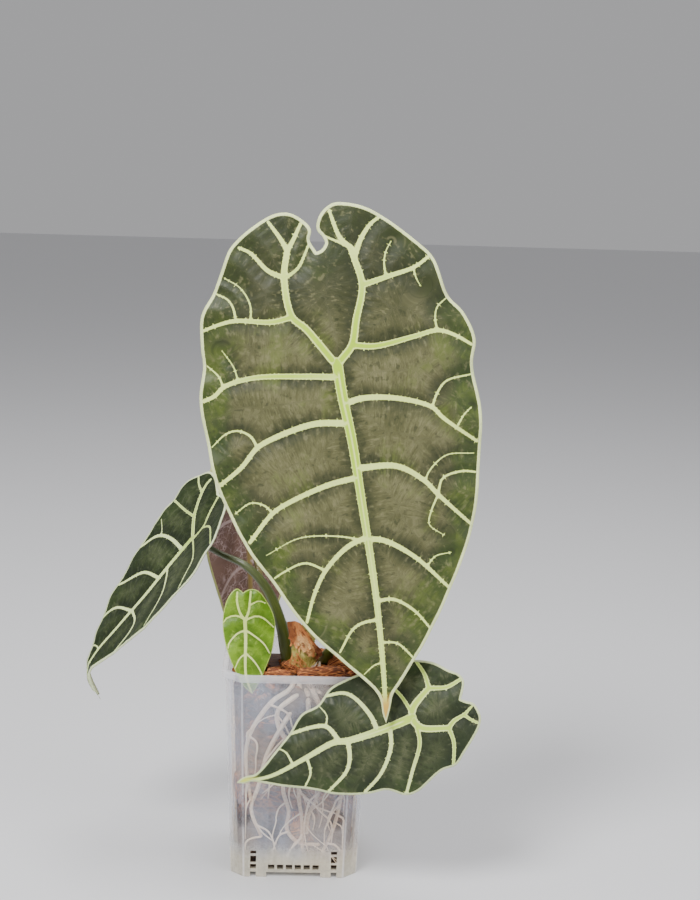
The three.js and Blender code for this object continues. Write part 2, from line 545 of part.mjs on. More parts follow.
// How high a blade's middle surface stands over its plane
function bladeHeight(blade, x, y, nearestVein) {
  const s = blade.shape;
  const across = s.arch * (x / s.halfWidth) ** 2;
  const along = y > 0 ? s.tipDrop * (y / s.tipReach) ** 2 : s.lobeDrop * (y / s.lobeReach) ** 2;
  const tail = s.tailDrop ? s.tailDrop * Math.max(0, y - s.tailFrom) ** 2 : 0;
  const fold = s.fold * (Math.hypot(x, 1) - 1);
  const swing = Math.sin((2 * Math.PI * y) / s.waveLength + (x > 0 ? 0 : 1.7));
  const wave = s.wave * Math.min(1, (x / s.halfWidth) ** 2) * swing;
  const quilt = s.quilt * (1 - Math.exp(-((nearestVein / s.quiltReach) ** 2)));
  return fold - across - along - tail + wave + quilt;
}

// A blade as a thin solid with its veins sunk on the upper face and standing as ribs below.
// A grown copy is thicker on both faces, or wider too, and trims what lies beside it.
function bladeSolid(blade, growAbove = 0, growBelow = 0, spread = 1) {
  const { points, triangles } = planeMesh(blade);
  const courses = blade.veins.map((vein) => ({ line: spacedPoints(vein.course, 1.5), width: vein.width }));
  const origin = vec(blade.junction);
  const yAxis = vec(blade.tip).sub(origin).normalize();
  const facing = vec(blade.faces);
  const normal = facing.addScaledVector(yAxis, -facing.dot(yAxis)).normalize();
  const xAxis = new THREE.Vector3().crossVectors(yAxis, normal);
  const place = (x, y, h) =>
    origin.clone().addScaledVector(xAxis, x).addScaledVector(yAxis, y).addScaledVector(normal, h);
  const upper = [];
  const lower = [];
  for (const [x, y] of points) {
    let nearest = Infinity;
    let rib = 0;
    for (const { line, width } of courses) {
      const { distance, along } = nearestOnCourse(line, x, y);
      const breadth = lerp(width[0], width[1], along);
      nearest = Math.min(nearest, distance);
      rib = Math.max(rib, RIB_STAND * breadth * Math.exp(-((distance / breadth) ** 2)));
    }
    const middle = bladeHeight(blade, x, y, nearest);
    upper.push(place(x * spread, y * spread, middle + blade.thickness / 2 + growAbove));
    lower.push(place(x * spread, y * spread, middle - blade.thickness / 2 - rib - growBelow));
  }
  const count = points.length;
  const faces = [];
  const edges = new Map();
  for (const [a, b, c] of triangles) {
    faces.push([a, b, c], [count + a, count + c, count + b]);
    for (const [from, to] of [[a, b], [b, c], [c, a]]) {
      if (!edges.delete(`${to},${from}`)) edges.set(`${from},${to}`, [from, to]);
    }
  }
  for (const [from, to] of edges.values()) {
    faces.push([to, from, count + from], [to, count + from, count + to]);
  }
  return solidOf(closedGeometry([...upper, ...lower], faces));
}

// A stalk runs on through its blade here, so that a trim leaves its end against the blade's back
function stalkGeometry(name, grow = 0) {
  const { route, radii } = STALKS[name];
  const blade = BLADES[name];
  const inside = vec(blade.junction).addScaledVector(vec(blade.faces), 1.5);
  return taperedTube([...route, inside.toArray()], radii, STALK_SIDES, 16, grow);
}

function stalkSolid(name) {
  return solidOf(stalkGeometry(name)).subtract(bladeSolid(BLADES[name], 8, GAP));
}

// A root's route along one wall, from the rhizome out to the wall and down it
function wallRoute(places, side) {
  const turn = new THREE.Matrix4().makeRotationZ((side * Math.PI) / 2);
  const [x0, y0] = RHIZOME.axis;
  const onWall = places.map(([across, z], i) => {
    const half = lerp(POT.footHalf, POT.topHalf, z / POT.height) - POT.wall;
    const depth = half - ROOT.radii[0] - ROOT.inset - (i === 0 ? ROOT.shoulder : 0);
    return new THREE.Vector3(across, -depth, z).applyMatrix4(turn);
  });
  const first = onWall[0];
  const start = new THREE.Vector3(x0, y0, 80).lerp(first, 0.12);
  const between = new THREE.Vector3(x0, y0, first.z + 1).lerp(first, 0.55);
  return [start, between, ...onWall].map((p) => p.toArray());
}

function rootRoutes() {
  const routes = FRONT_ROOTS.map((places) => wallRoute(places, 0));
  for (let side = 1; side < 4; side += 1) {
    for (const { start, sway, phase, bottom } of SIDE_ROOTS) {
      const places = [];
      for (let z = 88; z >= bottom; z -= 12) {
        places.push([start + sway * Math.sin(z / 14 + phase + side), z]);
      }
      routes.push(wallRoute(places, side));
    }
  }
  return routes;
}

function rootSolids(grow) {
  return rootRoutes().map((route) => solidOf(taperedTube(route, ROOT.radii, ROOT.sides, ROOT.steps, grow)));
}

function rhizomeCore(grow) {
  const profile = RHIZOME.profile.map(([radius, z], i, all) => {
    const isEnd = i === 0 || i === all.length - 1;
    return new THREE.Vector2(isEnd ? 0 : radius + grow, z + (i === 0 ? -grow : 0) + (i === all.length - 1 ? grow : 0));
  });
  const geometry = new THREE.LatheGeometry(profile, RHIZOME.sides);
  geometry.rotateX(Math.PI / 2);
  geometry.translate(...RHIZOME.axis, 0);
  return solidOf(geometry);
}

const shootSolid = (grow) => solidOf(taperedTube([SHOOT.from, SHOOT.to], SHOOT.radii, 6, 3, grow));

function rhizomeSolid() {
  const whole = joined([rhizomeCore(0), shootSolid(0), ...rootSolids(0)]);
  const sockets = Object.keys(STALKS).map((name) => solidOf(stalkGeometry(name, GAP)));
  return cutBy(whole, sockets);
}

// A sheet of even thickness behind rows of points, closed at its edges, and thicker by a growth
function sheetGeometry(rows, thickness, grow = 0) {
  const curves = rows.map((row) => new THREE.CatmullRomCurve3(row.map(vec)));
  const across = 12;
  const up = 10;
  const grid = [];
  for (let i = 0; i <= across; i += 1) {
    const column = new THREE.CatmullRomCurve3(curves.map((curve) => curve.getPoint(i / across)));
    for (let j = 0; j <= up; j += 1) grid.push(column.getPoint(j / up));
  }
  const at = (i, j) => i * (up + 1) + j;
  const faces = [];
  const count = grid.length;
  const normals = grid.map(() => new THREE.Vector3());
  for (let i = 0; i < across; i += 1) {
    for (let j = 0; j < up; j += 1) {
      const [a, b, c, d] = [at(i, j), at(i + 1, j), at(i + 1, j + 1), at(i, j + 1)];
      faces.push([a, b, c], [a, c, d], [count + a, count + c, count + b], [count + a, count + d, count + c]);
      const diagonal = grid[d].clone().sub(grid[b]);
      const facing = grid[c].clone().sub(grid[a]).cross(diagonal);
      [a, b, c, d].forEach((corner) => normals[corner].sub(facing));
    }
  }
  const rim = [];
  for (let i = 0; i < across; i += 1) rim.push(at(i, 0));
  for (let j = 0; j < up; j += 1) rim.push(at(across, j));
  for (let i = across; i > 0; i -= 1) rim.push(at(i, up));
  for (let j = up; j > 0; j -= 1) rim.push(at(0, j));
  rim.forEach((from, k) => {
    const to = rim[(k + 1) % rim.length];
    faces.push([to, from, count + from], [to, count + from, count + to]);
  });
  const offset = (reach) => grid.map((p, i) => p.clone().addScaledVector(normals[i].normalize(), reach));
  return closedGeometry([...offset(-grow), ...offset(thickness + grow)], faces);
}

// The top of the mix, away from its chips
function mixTop(x, y) {
  const crown = MIX.crown * Math.exp(-(x * x + (y - 6) ** 2) / 700);
  const dip = MIX.dip * Math.exp(-((x - MIX.dipAt[0]) ** 2 + (y - MIX.dipAt[1]) ** 2) / MIX.dipReach ** 2);
  const ripple = 0.6 * Math.sin(x / 3.1) * Math.cos(y / 3.7);
  return MIX.rim + crown - dip + ripple;
}

// The pot's inner outline as an even ring of points, scaled about the axis
function mixRing(z, scale, topped) {
  const corners = potRing(z, POT.wall + GAP);
  corners.push(corners[0]);
  const path = new THREE.CurvePath();
  for (let i = 0; i < 8; i += 1) path.add(new THREE.LineCurve3(corners[i], corners[i + 1]));
  return path.getSpacedPoints(MIX.sides).slice(0, -1).map((p) => {
    const [x, y] = [p.x * scale, p.y * scale];
    return new THREE.Vector3(x, y, topped ? mixTop(x, y) : z);
  });
}

// A husk chip: a slab with uneven corners, turned and tilted
function chipSolid({ at, size, turn, tilt }, random) {
  const geometry = new THREE.BoxGeometry(...size);
  const position = geometry.getAttribute("position");
  const shifts = new Map();
  for (let i = 0; i < position.count; i += 1) {
    const key = [position.getX(i), position.getY(i), position.getZ(i)].map(Math.sign).join();
    if (!shifts.has(key)) shifts.set(key, size.map((length) => length * (1 - 0.26 * random())));
    const signs = key.split(",").map(Number);
    const shift = shifts.get(key);
    position.setXYZ(i, (signs[0] * shift[0]) / 2, (signs[1] * shift[1]) / 2, (signs[2] * shift[2]) / 2);
  }
  geometry.rotateY(THREE.MathUtils.degToRad(tilt));
  geometry.rotateZ(THREE.MathUtils.degToRad(turn));
  geometry.translate(...at);
  return solidOf(geometry);
}

// What a chip near the edge may not reach: the wall, the lip and all that lies outside them
function rimClearance() {
  const outside = -12;
  const low = MIX.rim - 20;
  const top = POT.height + GAP;
  const lipBottom = POT.height - POT.lipHeight;
  const lipEdge = -POT.lipProud - GAP;
  const outer = loft([potRing(low, outside), potRing(lipBottom, outside), potRing(lipBottom, lipEdge), potRing(top, lipEdge)]);
  const inner = loft([potRing(low - 1, POT.wall + GAP), potRing(top + 1, POT.wall + GAP)]);
  return solidOf(outer).subtract(solidOf(inner));
}

// The sheath's foot and the room round it
function sheathClearance() {
  const points = SHEATH.rows.flat().map(vec);
  const middle = new THREE.Box3().setFromPoints(points).getCenter(new THREE.Vector3());
  const grown = sheetGeometry(SHEATH.rows, SHEATH.thickness, GAP);
  grown.translate(-middle.x, -middle.y, -middle.z);
  grown.scale(1.05, 1, 1.03);
  grown.translate(...middle);
  return solidOf(grown);
}

function mixSolid() {
  const rings = [mixRing(POT.floorTop + GAP, 1, false), mixRing(MIX.rim - 6, 1, false)];
  for (const scale of [0.97, 0.75, 0.5, 0.25, 0.06]) rings.push(mixRing(MIX.rim, scale, true));
  const random = seededRandom(CHIPS.seed);
  const between = ([low, high]) => lerp(low, high, random());
  const chips = LARGE_CHIPS.map((chip) => chipSolid(chip, random));
  for (let i = 0; i < CHIPS.count; i += 1) {
    const [x, y] = [between([-CHIPS.spread, CHIPS.spread]), between([-CHIPS.spread, CHIPS.spread])];
    const size = [between(CHIPS.length), between(CHIPS.width), between(CHIPS.thickness)];
    const reach = Math.max(Math.abs(x), Math.abs(y)) + size[0] / 2;
    const drawnIn = Math.min(1, (POT.topHalf - POT.wall - 2) / reach);
    const at = [x * drawnIn, y * drawnIn, mixTop(x, y) + between([0, 2])];
    chips.push(chipSolid({ at, size, turn: between([0, 180]), tilt: between([-22, 22]) }, random));
  }
  const cutters = [
    rimClearance(),
    rhizomeCore(GAP),
    shootSolid(GAP),
    ...rootSolids(1.4 * GAP),
    ...Object.keys(STALKS).map((name) => solidOf(stalkGeometry(name, GAP))),
    bladeSolid(BLADES.small, 4, 1, 1.05),
    sheathClearance(),
  ];
  return cutBy(joined([solidOf(loft(rings)), ...chips]), cutters);
}

const part = new THREE.Group();

function addPiece(name, solid, finish) {
  const mesh = new THREE.Mesh(geometryOf(solid), new THREE.MeshStandardMaterial(FINISH[finish]));
  mesh.name = name;
  part.add(mesh);
}

addPiece("pot", potSolid(), "pot");
addPiece("potting_mix", mixSolid(), "mix");
addPiece("rhizome_and_roots", rhizomeSolid(), "rhizome");
addPiece("dry_sheath", solidOf(sheetGeometry(SHEATH.rows, SHEATH.thickness)), "sheath");
for (const name of Object.keys(STALKS)) {
  addPiece(`stalk_${name}`, stalkSolid(name), "stalk");
}
addPiece("blade_front", bladeSolid(BLADES.front), "darkBlade");
addPiece("blade_right", bladeSolid(BLADES.right), "darkBlade");
addPiece("blade_left", bladeSolid(BLADES.left), "darkBlade");
addPiece("blade_back", bladeSolid(BLADES.back), "purpleBlade");
addPiece("blade_small", bladeSolid(BLADES.small), "youngBlade");

// The origin lies on the surface that the pot stands on, under the middle of the whole plant
const bounds = new THREE.Box3().setFromObject(part);
const middle = bounds.getCenter(new THREE.Vector3());
part.children.forEach((mesh) => mesh.position.set(-middle.x, -middle.y, -bounds.min.z));

export default part;
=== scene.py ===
"""The looks of a potted jewel alocasia: quilted, pale-veined leaves on waxy stalks in a clear pot.

Lengths are millimetres in the pot's own frame (axis at x = y = 0, front wall towards -Y, feet on z = 0)
until a mesh is placed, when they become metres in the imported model's frame.
"""

from __future__ import annotations

import logging
import math
from collections.abc import Callable, Iterable, Sequence
from dataclasses import dataclass, field, replace
from enum import Enum
from functools import cached_property
from typing import Any

import bmesh
import bpy
import numpy as np
from mathutils import Matrix, Vector, noise
from mathutils.geometry import delaunay_2d_cdt

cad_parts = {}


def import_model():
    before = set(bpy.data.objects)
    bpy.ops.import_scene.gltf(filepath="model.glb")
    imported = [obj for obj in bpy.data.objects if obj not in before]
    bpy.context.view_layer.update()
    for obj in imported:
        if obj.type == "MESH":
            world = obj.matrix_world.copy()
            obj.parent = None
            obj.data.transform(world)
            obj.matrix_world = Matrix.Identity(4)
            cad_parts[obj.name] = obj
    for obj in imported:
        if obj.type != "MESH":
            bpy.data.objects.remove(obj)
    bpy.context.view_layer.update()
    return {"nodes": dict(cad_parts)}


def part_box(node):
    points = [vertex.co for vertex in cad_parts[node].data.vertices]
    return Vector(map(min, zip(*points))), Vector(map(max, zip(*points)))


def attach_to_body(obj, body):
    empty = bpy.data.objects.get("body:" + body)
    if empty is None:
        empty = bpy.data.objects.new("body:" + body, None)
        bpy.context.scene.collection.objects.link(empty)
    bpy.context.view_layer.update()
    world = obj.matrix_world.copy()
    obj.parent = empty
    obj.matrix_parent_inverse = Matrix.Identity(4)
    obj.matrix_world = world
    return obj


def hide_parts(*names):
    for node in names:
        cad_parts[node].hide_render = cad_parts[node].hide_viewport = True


LOG = logging.getLogger("alocasia")
MM = 0.001
BODY = "root"
Array = np.ndarray
Piece = bpy.types.Object
Material = bpy.types.Material
Point = tuple[float, float, float]
PlanPoint = tuple[float, float]
Span = tuple[float, float]
Colour = tuple[float, float, float]
Operator = Callable[["Term", Any], "Term"]
Flute = Callable[[float, float], float]
Faces = list[tuple[int, ...]]
Tube = tuple[Array, Faces, Array]
Route = tuple[Array, Span]
MIX_FACTOR, MIX_FIRST, MIX_SECOND, MIX_RESULT = 0, 6, 7, 2
MEASURES = ("centre", "edge", "along", "ratio", "width", "main", "rib", "rim")
BATCH = 1500  # how many points are measured at a time
SPAN_PARTS = 24  # how finely a curve is drawn between two knots before it is spaced evenly
FIRST_SIDE = 200.0  # lengths along the midrib stay under this, and those along the other veins over it
VEIN_SHIFT = 37.0  # what sets the teeth of one side vein off from the next one's


def tint(red: int, green: int, blue: int) -> Colour:
    """Turns a display colour of 0 to 255 a channel into the linear colour that shaders take."""
    shares = (red / 255, green / 255, blue / 255)
    return tuple(c / 12.92 if c <= 0.04045 else ((c + 0.055) / 1.055) ** 2.4 for c in shares)


class Kind(Enum):
    """What a socket carries."""

    VALUE = "VALUE"
    COLOUR = "RGBA"
    VECTOR = "VECTOR"


def operator_pair(operation: str) -> tuple[Operator, Operator]:
    """Makes an operator of Term with its reflected form.

    Args:
        operation: the operation's name in a Math, Mix or Vector Math node.

    Returns:
        The operator for a Term on the left, and the one for a Term on the right.
    """

    def straight(self: Term, other: Any) -> Term:
        """Works it out with this Term first."""
        return self.combine(operation, self, other)

    def reflected(self: Term, other: Any) -> Term:
        """Works it out with this Term second."""
        return self.combine(operation, other, self)

    return straight, reflected


class Term:
    """A socket in an expression, whose operators add the nodes that work them out.

    The larger of two sides is written with | and the smaller with &.
    """

    __add__, __radd__ = operator_pair("ADD")
    __sub__, __rsub__ = operator_pair("SUBTRACT")
    __mul__, __rmul__ = operator_pair("MULTIPLY")
    __pow__, __rpow__ = operator_pair("POWER")
    __or__, __ror__ = operator_pair("MAXIMUM")
    __and__, __rand__ = operator_pair("MINIMUM")

    def __init__(self, graph: Graph, socket: bpy.types.NodeSocket) -> None:
        """Wraps an output socket.

        Args:
            graph: the tree that the socket belongs to.
            socket: the socket.
        """
        self.graph = graph
        self.socket = socket
        self.kind = next((kind for kind in Kind if kind.value == socket.type), Kind.VALUE)

    def combine(self, operation: str, first: Any, second: Any) -> Term:
        """Adds the node for a two-sided operation.

        Args:
            operation: the operation's name in a Math, Mix or Vector Math node.
            first: the left side.
            second: the right side.

        Returns:
            The result.
        """
        if self.kind is Kind.COLOUR:
            settings = {"data_type": "RGBA", "blend_type": operation, "clamp_result": False}
            sockets = {MIX_FACTOR: 1.0, MIX_FIRST: first, MIX_SECOND: second}
            return self.graph.node("Mix", settings, sockets, MIX_RESULT)
        maths = "VectorMath" if self.kind is Kind.VECTOR else "Math"
        return self.graph.node(maths, {"operation": operation}, {0: first, 1: second})

    def __abs__(self) -> Term:
        """Drops the sign."""
        return self.graph.node("Math", {"operation": "ABSOLUTE"}, {0: self})

    def step(self, low: float, high: float) -> Term:
        """Rises smoothly from 0 at low to 1 at high, or falls where low is the larger."""
        sockets = {"Value": self, "From Min": low, "From Max": high, "To Min": 0.0, "To Max": 1.0}
        return self.graph.node("MapRange", {"interpolation_type": "SMOOTHSTEP"}, sockets)

    def between(self, low: Any, high: Any) -> Term:
        """Blends two colours, from low where this is 0 to high where it is 1.

        Args:
            low: the colour at 0.
            high: the colour at 1.

        Returns:
            The blend.
        """
        settings = {"data_type": "RGBA", "blend_type": "MIX", "clamp_factor": True}
        sockets = {MIX_FACTOR: self, MIX_FIRST: low, MIX_SECOND: high}
        return self.graph.node("Mix", settings, sockets, MIX_RESULT)

    def pingpong(self, length: float) -> Term:
        """Runs up and down between 0 and a length."""
        return self.graph.node("Math", {"operation": "PINGPONG"}, {0: self, 1: length})


class Graph:
    """A material's node tree, built from expressions."""

    def __init__(self, name: str) -> None:
        """Starts a material that holds only its output.

        Args:
            name: the material's name.
        """
        self.material = bpy.data.materials.new(name)
        self.material.use_nodes = True
        self.tree = self.material.node_tree
        self.tree.nodes.clear()
        self.output = self.tree.nodes.new("ShaderNodeOutputMaterial")

    def node(
        self,
        kind: str,
        settings: dict[str, Any] | None = None,
        sockets: dict[str | int, Any] | None = None,
        output: str | int = 0,
    ) -> Term:
        """Adds a node.

        Args:
            kind: the shader node's type.
            settings: its properties, which are set first.
            sockets: what feeds each input, by its name or place.
            output: the output wanted, by its name or place.

        Returns:
            That output.
        """
        made = self.tree.nodes.new(f"ShaderNode{kind}")
        for key, value in (settings or {}).items():
            setattr(made, key, value)
        for key, value in (sockets or {}).items():
            self.feed(made.inputs[key], value)
        return Term(self, made.outputs[output])

    def feed(self, socket: bpy.types.NodeSocket, value: Any) -> None:
        """Links an input, or sets its own value.

        Args:
            socket: the input.
            value: a Term, a plain value, or three of either that make a vector.
        """
        if isinstance(value, tuple) and any(isinstance(part, Term) for part in value):
            value = self.node("CombineXYZ", None, dict(enumerate(value)))
        if isinstance(value, Term):
            self.tree.links.new(value.socket, socket)
        elif socket.type == "RGBA":
            socket.default_value = (*value, 1.0)
        elif socket.type == "VECTOR" and isinstance(value, (int, float)):
            socket.default_value = (value, value, value)
        else:
            socket.default_value = value

    def split(self, vector: Term) -> tuple[Term, ...]:
        """Takes a vector apart."""
        made = self.node("SeparateXYZ", None, {0: vector}).socket.node
        return tuple(Term(self, socket) for socket in made.outputs)

    def stored(self, name: str) -> tuple[Term, ...]:
        """Reads the three values that the mesh stores under a name at its points."""
        return self.split(self.node("Attribute", {"attribute_name": name}, None, "Vector"))

    def noise(self, place: Any, scale: float, detail: float = 2.0, roughness: float = 0.5) -> Term:
        """Adds a soft random value from 0 to 1 over a place."""
        sockets = {"Vector": place, "Scale": scale, "Detail": detail, "Roughness": roughness}
        return self.node("TexNoise", None, sockets)

    def cracks(self, place: Any, scale: float) -> Term:
        """Measures the distance to the borders of random cells over a place."""
        sockets = {"Vector": place, "Scale": scale}
        return self.node("TexVoronoi", {"feature": "DISTANCE_TO_EDGE"}, sockets, "Distance")

    def place(self) -> Term:
        """Reads the object's own coordinates, in metres."""
        return self.node("TexCoord", None, None, "Object")

    def bump(self, height: Term, distance: float, strength: float) -> Term:
        """Turns a height from 0 to 1 into a normal, for relief of a depth in metres."""
        return self.node("Bump", None, {"Height": height, "Distance": distance, "Strength": strength})

    def surface(self, colour: Any, rough: Any, normal: Term | None = None, **others: Any) -> Material:
        """Ends the tree in one principled surface.

        Args:
            colour: its colour.
            rough: its roughness.
            normal: its normal, where it has relief.
            others: its other inputs, by their names with _ for each space.

        Returns:
            The material.
        """
        sockets = {"Base Color": colour, "Roughness": rough}
        if normal is not None:
            sockets["Normal"] = normal
        sockets.update((name.replace("_", " "), value) for name, value in others.items())
        shader = self.node("BsdfPrincipled", None, sockets)
        self.tree.links.new(shader.socket, self.output.inputs["Surface"])
        return self.material


def smooth_course(points: Iterable[Sequence[float]], step: float) -> Array:
    """Draws a smooth curve through points, with parts between them in proportion to their distances.

    Args:
        points: two or more points in a plane or in space.
        step: the spacing wanted along the curve.

    Returns:
        The curve's points, evenly spaced, with both ends kept.
    """
    knots = np.array(list(points), float)
    knots = np.vstack([2 * knots[0] - knots[1], knots, 2 * knots[-1] - knots[-2]])
    spans = np.sqrt(np.maximum(np.linalg.norm(np.diff(knots, axis=0), axis=1), 1e-6))
    pieces = []
    share = np.linspace(0, 1, SPAN_PARTS, endpoint=False)[:, None]
    for i in range(1, len(knots) - 2):
        before, here, after, beyond = knots[i - 1 : i + 3]
        t0, t1, t2 = spans[i - 1 : i + 2]
        leave = t1 * ((here - before) / t0 - (after - before) / (t0 + t1) + (after - here) / t1)
        arrive = t1 * ((after - here) / t1 - (beyond - here) / (t1 + t2) + (beyond - after) / t2)
        cube = 2 * here - 2 * after + leave + arrive
        square = -3 * here + 3 * after - 2 * leave - arrive
        pieces.append(here + leave * share + square * share**2 + cube * share**3)
    curve = np.vstack([*pieces, knots[-2][None]])
    lengths = np.concatenate([[0], np.cumsum(np.linalg.norm(np.diff(curve, axis=0), axis=1))])
    places = np.linspace(0, lengths[-1], max(2, round(lengths[-1] / step)) + 1)
    return np.stack([np.interp(places, lengths, curve[:, k]) for k in range(curve.shape[1])], axis=1)


def nearest(points: Array, starts: Array, ends: Array) -> tuple[Array, Array]:
    """Measures from each point to each of a set of straight pieces in the plane.

    Args:
        points: the points, one a row.
        starts: where each piece starts.
        ends: where each piece ends.

    Returns:
        The distances and how far along each piece its nearest spot lies, as tables of point by piece.
    """
    run = ends - starts
    offset = points[:, None] - starts[None]
    along = np.clip((offset * run).sum(2) / np.maximum((run**2).sum(1), 1e-12), 0, 1)
    distance = np.linalg.norm(offset - along[..., None] * run, axis=2)
    return distance, along


def make_object(name: str, mesh: bpy.types.Mesh, material: Material) -> Piece:
    """Shows a mesh in one material, smooth shaded.

    Args:
        name: its name.
        mesh: its mesh.
        material: its material.

    Returns:
        The object.
    """
    mesh.materials.append(material)
    mesh.polygons.foreach_set("use_smooth", np.ones(len(mesh.polygons), bool))
    piece = bpy.data.objects.new(name, mesh)
    bpy.context.scene.collection.objects.link(piece)
    return piece


def store(mesh: bpy.types.Mesh, name: str, vectors: Array) -> None:
    """Stores a vector at each point of a mesh, for its material to read."""
    layer = mesh.attributes.new(name, "FLOAT_VECTOR", "POINT")
    layer.data.foreach_set("vector", np.ascontiguousarray(vectors, np.float32).ravel())


@dataclass
class Site:
    """Where the pot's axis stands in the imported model's frame."""

    axis: Array

    def mesh(self, name: str, points: Array, faces: Sequence[Sequence[int]]) -> bpy.types.Mesh:
        """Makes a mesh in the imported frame.

        Args:
            name: its name.
            points: its points in millimetres, in the pot's own frame.
            faces: its faces, as rows of point numbers.

        Returns:
            The mesh.
        """
        made = bpy.data.meshes.new(name)
        made.from_pydata((points * MM + self.axis).tolist(), [], [list(map(int, f)) for f in faces])
        made.validate()
        return made


@dataclass
class PieceBuilder:
    """Collects points and faces of many small forms into one mesh."""

    points: list[Array] = field(default_factory=list)
    faces: Faces = field(default_factory=list)
    grain: list[Array] = field(default_factory=list)
    lifts: list[Array] = field(default_factory=list)
    count: int = 0

    def add(
        self, points: Array, faces: Sequence[Sequence[int]], grain: Array, lift: Array | None = None
    ) -> None:
        """Adds one form with the grain coordinates of its points, and their lift if its painted shade follows
        that.

        Args:
            points: its points, one a row.
            faces: its faces, as rows of point numbers.
            grain: its points' grain coordinates.
            lift: how far each point stands out, if its painted shade follows that.
        """
        self.points.append(points)
        self.grain.append(grain)
        if lift is not None:
            self.lifts.append(lift)
        self.faces.extend(tuple(i + self.count for i in face) for face in faces)
        self.count += len(points)

    def build(self, site: Site, name: str, material: Material) -> Piece:
        """Makes the one piece, with its grain stored at its points.

        Args:
            site: where the pot's axis stands.
            name: the piece's name.
            material: its material.

        Returns:
            The piece.
        """
        mesh = site.mesh(name, np.vstack(self.points), self.faces)
        store(mesh, "grain", np.vstack(self.grain))
        if self.lifts:
            store(mesh, "lift", np.vstack(self.lifts))
        return make_object(name, mesh, material)


def bands(rows: int, sides: int) -> Faces:
    """Joins rows of points, each a closed ring, by bands of faces.

    Args:
        rows: how many rings there are.
        sides: how many points a ring has.

    Returns:
        The faces.
    """
    faces = []
    for row in range(rows - 1):
        for i in range(sides):
            a, b = row * sides + i, row * sides + (i + 1) % sides
            faces.append((a, b, b + sides, a + sides))
    return faces


def edge_band(border: Iterable[tuple[int, int]], count: int) -> Faces:
    """Closes a thin form along its border, between a front face and a back one of as many points."""
    return [(two, one, one + count, two + count) for one, two in border]


def rotation(degrees: float, axis: str) -> Matrix:
    """Gives the matrix that turns points about an axis."""
    return Matrix.Rotation(math.radians(degrees), 3, axis)


def tube(route: Array, radii: Array, sides: int, flute: Flute | None = None) -> Tube:
    """Makes a tapered tube along a route, closed at its ends.

    Args:
        route: the middle line's points.
        radii: a radius for each of them.
        sides: how many points a ring has.
        flute: an optional share added to the radius, from the angle and the length along.

    Returns:
        The points, the faces, and for each point its angle, length along and share of the length.
    """
    steps = np.linalg.norm(np.diff(route, axis=0), axis=1)
    lengths = np.concatenate([[0], np.cumsum(steps)])
    tangents = np.gradient(route, axis=0)
    tangents /= np.linalg.norm(tangents, axis=1)[:, None]
    side = np.cross(tangents[0], (0.31, 0.95, 0.02))  # no route starts along this
    points, grain = [], []
    angles = np.arange(sides) * 2 * math.pi / sides
    for middle, tangent, radius, length in zip(route, tangents, radii, lengths):
        side = side - tangent * side.dot(tangent)
        side /= np.linalg.norm(side)
        other = np.cross(tangent, side)
        for angle in angles:
            reach = radius * (1 + (flute(angle, length) if flute else 0))
            points.append(middle + reach * (math.cos(angle) * side + math.sin(angle) * other))
            grain.append((angle, length, length / lengths[-1]))
    points.extend([route[0] - tangents[0] * radii[0] * 0.4, route[-1] + tangents[-1] * radii[-1] * 0.4])
    grain.extend([(0, 0, 0), (0, lengths[-1], 1)])
    faces = bands(len(route), sides)
    first, last = len(points) - 2, len(points) - 1
    top = (len(route) - 1) * sides
    for i in range(sides):
        j = (i + 1) % sides
        faces.extend([(first, j, i), (last, top + i, top + j)])
    return np.array(points), faces, np.array(grain)


@dataclass(frozen=True)
class Vein:
    """One vein's course over its blade, and its width at either end."""

    course: tuple[PlanPoint, ...]
    start: float
    end: float


class Face(Enum):
    """The two faces of a blade, as its meshes store them."""

    UPPER = 1.0
    LOWER = -1.0


class Readings:
    """What every marking of a blade reads: values that its mesh stores, and random ones over them.

    x and y are the place in the blade's plane, and face tells its upper face from its lower one. edge is
    the distance to the nearest vein's edge, along the place along that vein, and ratio the distance from
    its middle as a share of its half width. rim is the distance to the margin, across the distance to the
    nearest middle line, and main is 1 on the midrib.
    """

    def __init__(self, graph: Graph) -> None:
        """Adds the nodes that read them.

        Args:
            graph: the material's tree.
        """
        self.graph = graph
        self.x, self.y, self.face = plan = graph.stored("plan")
        self.edge, self.along, self.ratio = graph.stored("vein")
        self.rim, self.across, self.main = graph.stored("rim")
        self.brush = graph.noise((self.along * 1.1, self.across * 0.07, 0.0), 0.8, 4.0, 0.7)
        self.fine = graph.noise((self.along, self.across * 0.18, 4.0), 2.6, 3.0, 0.6)
        self.cloud = graph.noise(plan, 0.05, 3.0, 0.55)
        self.patches = graph.noise((self.x, self.y, 7.0), 0.06, 3.0, 0.6)
        self.cells = graph.noise(plan, 1.5, 3.0, 0.6)


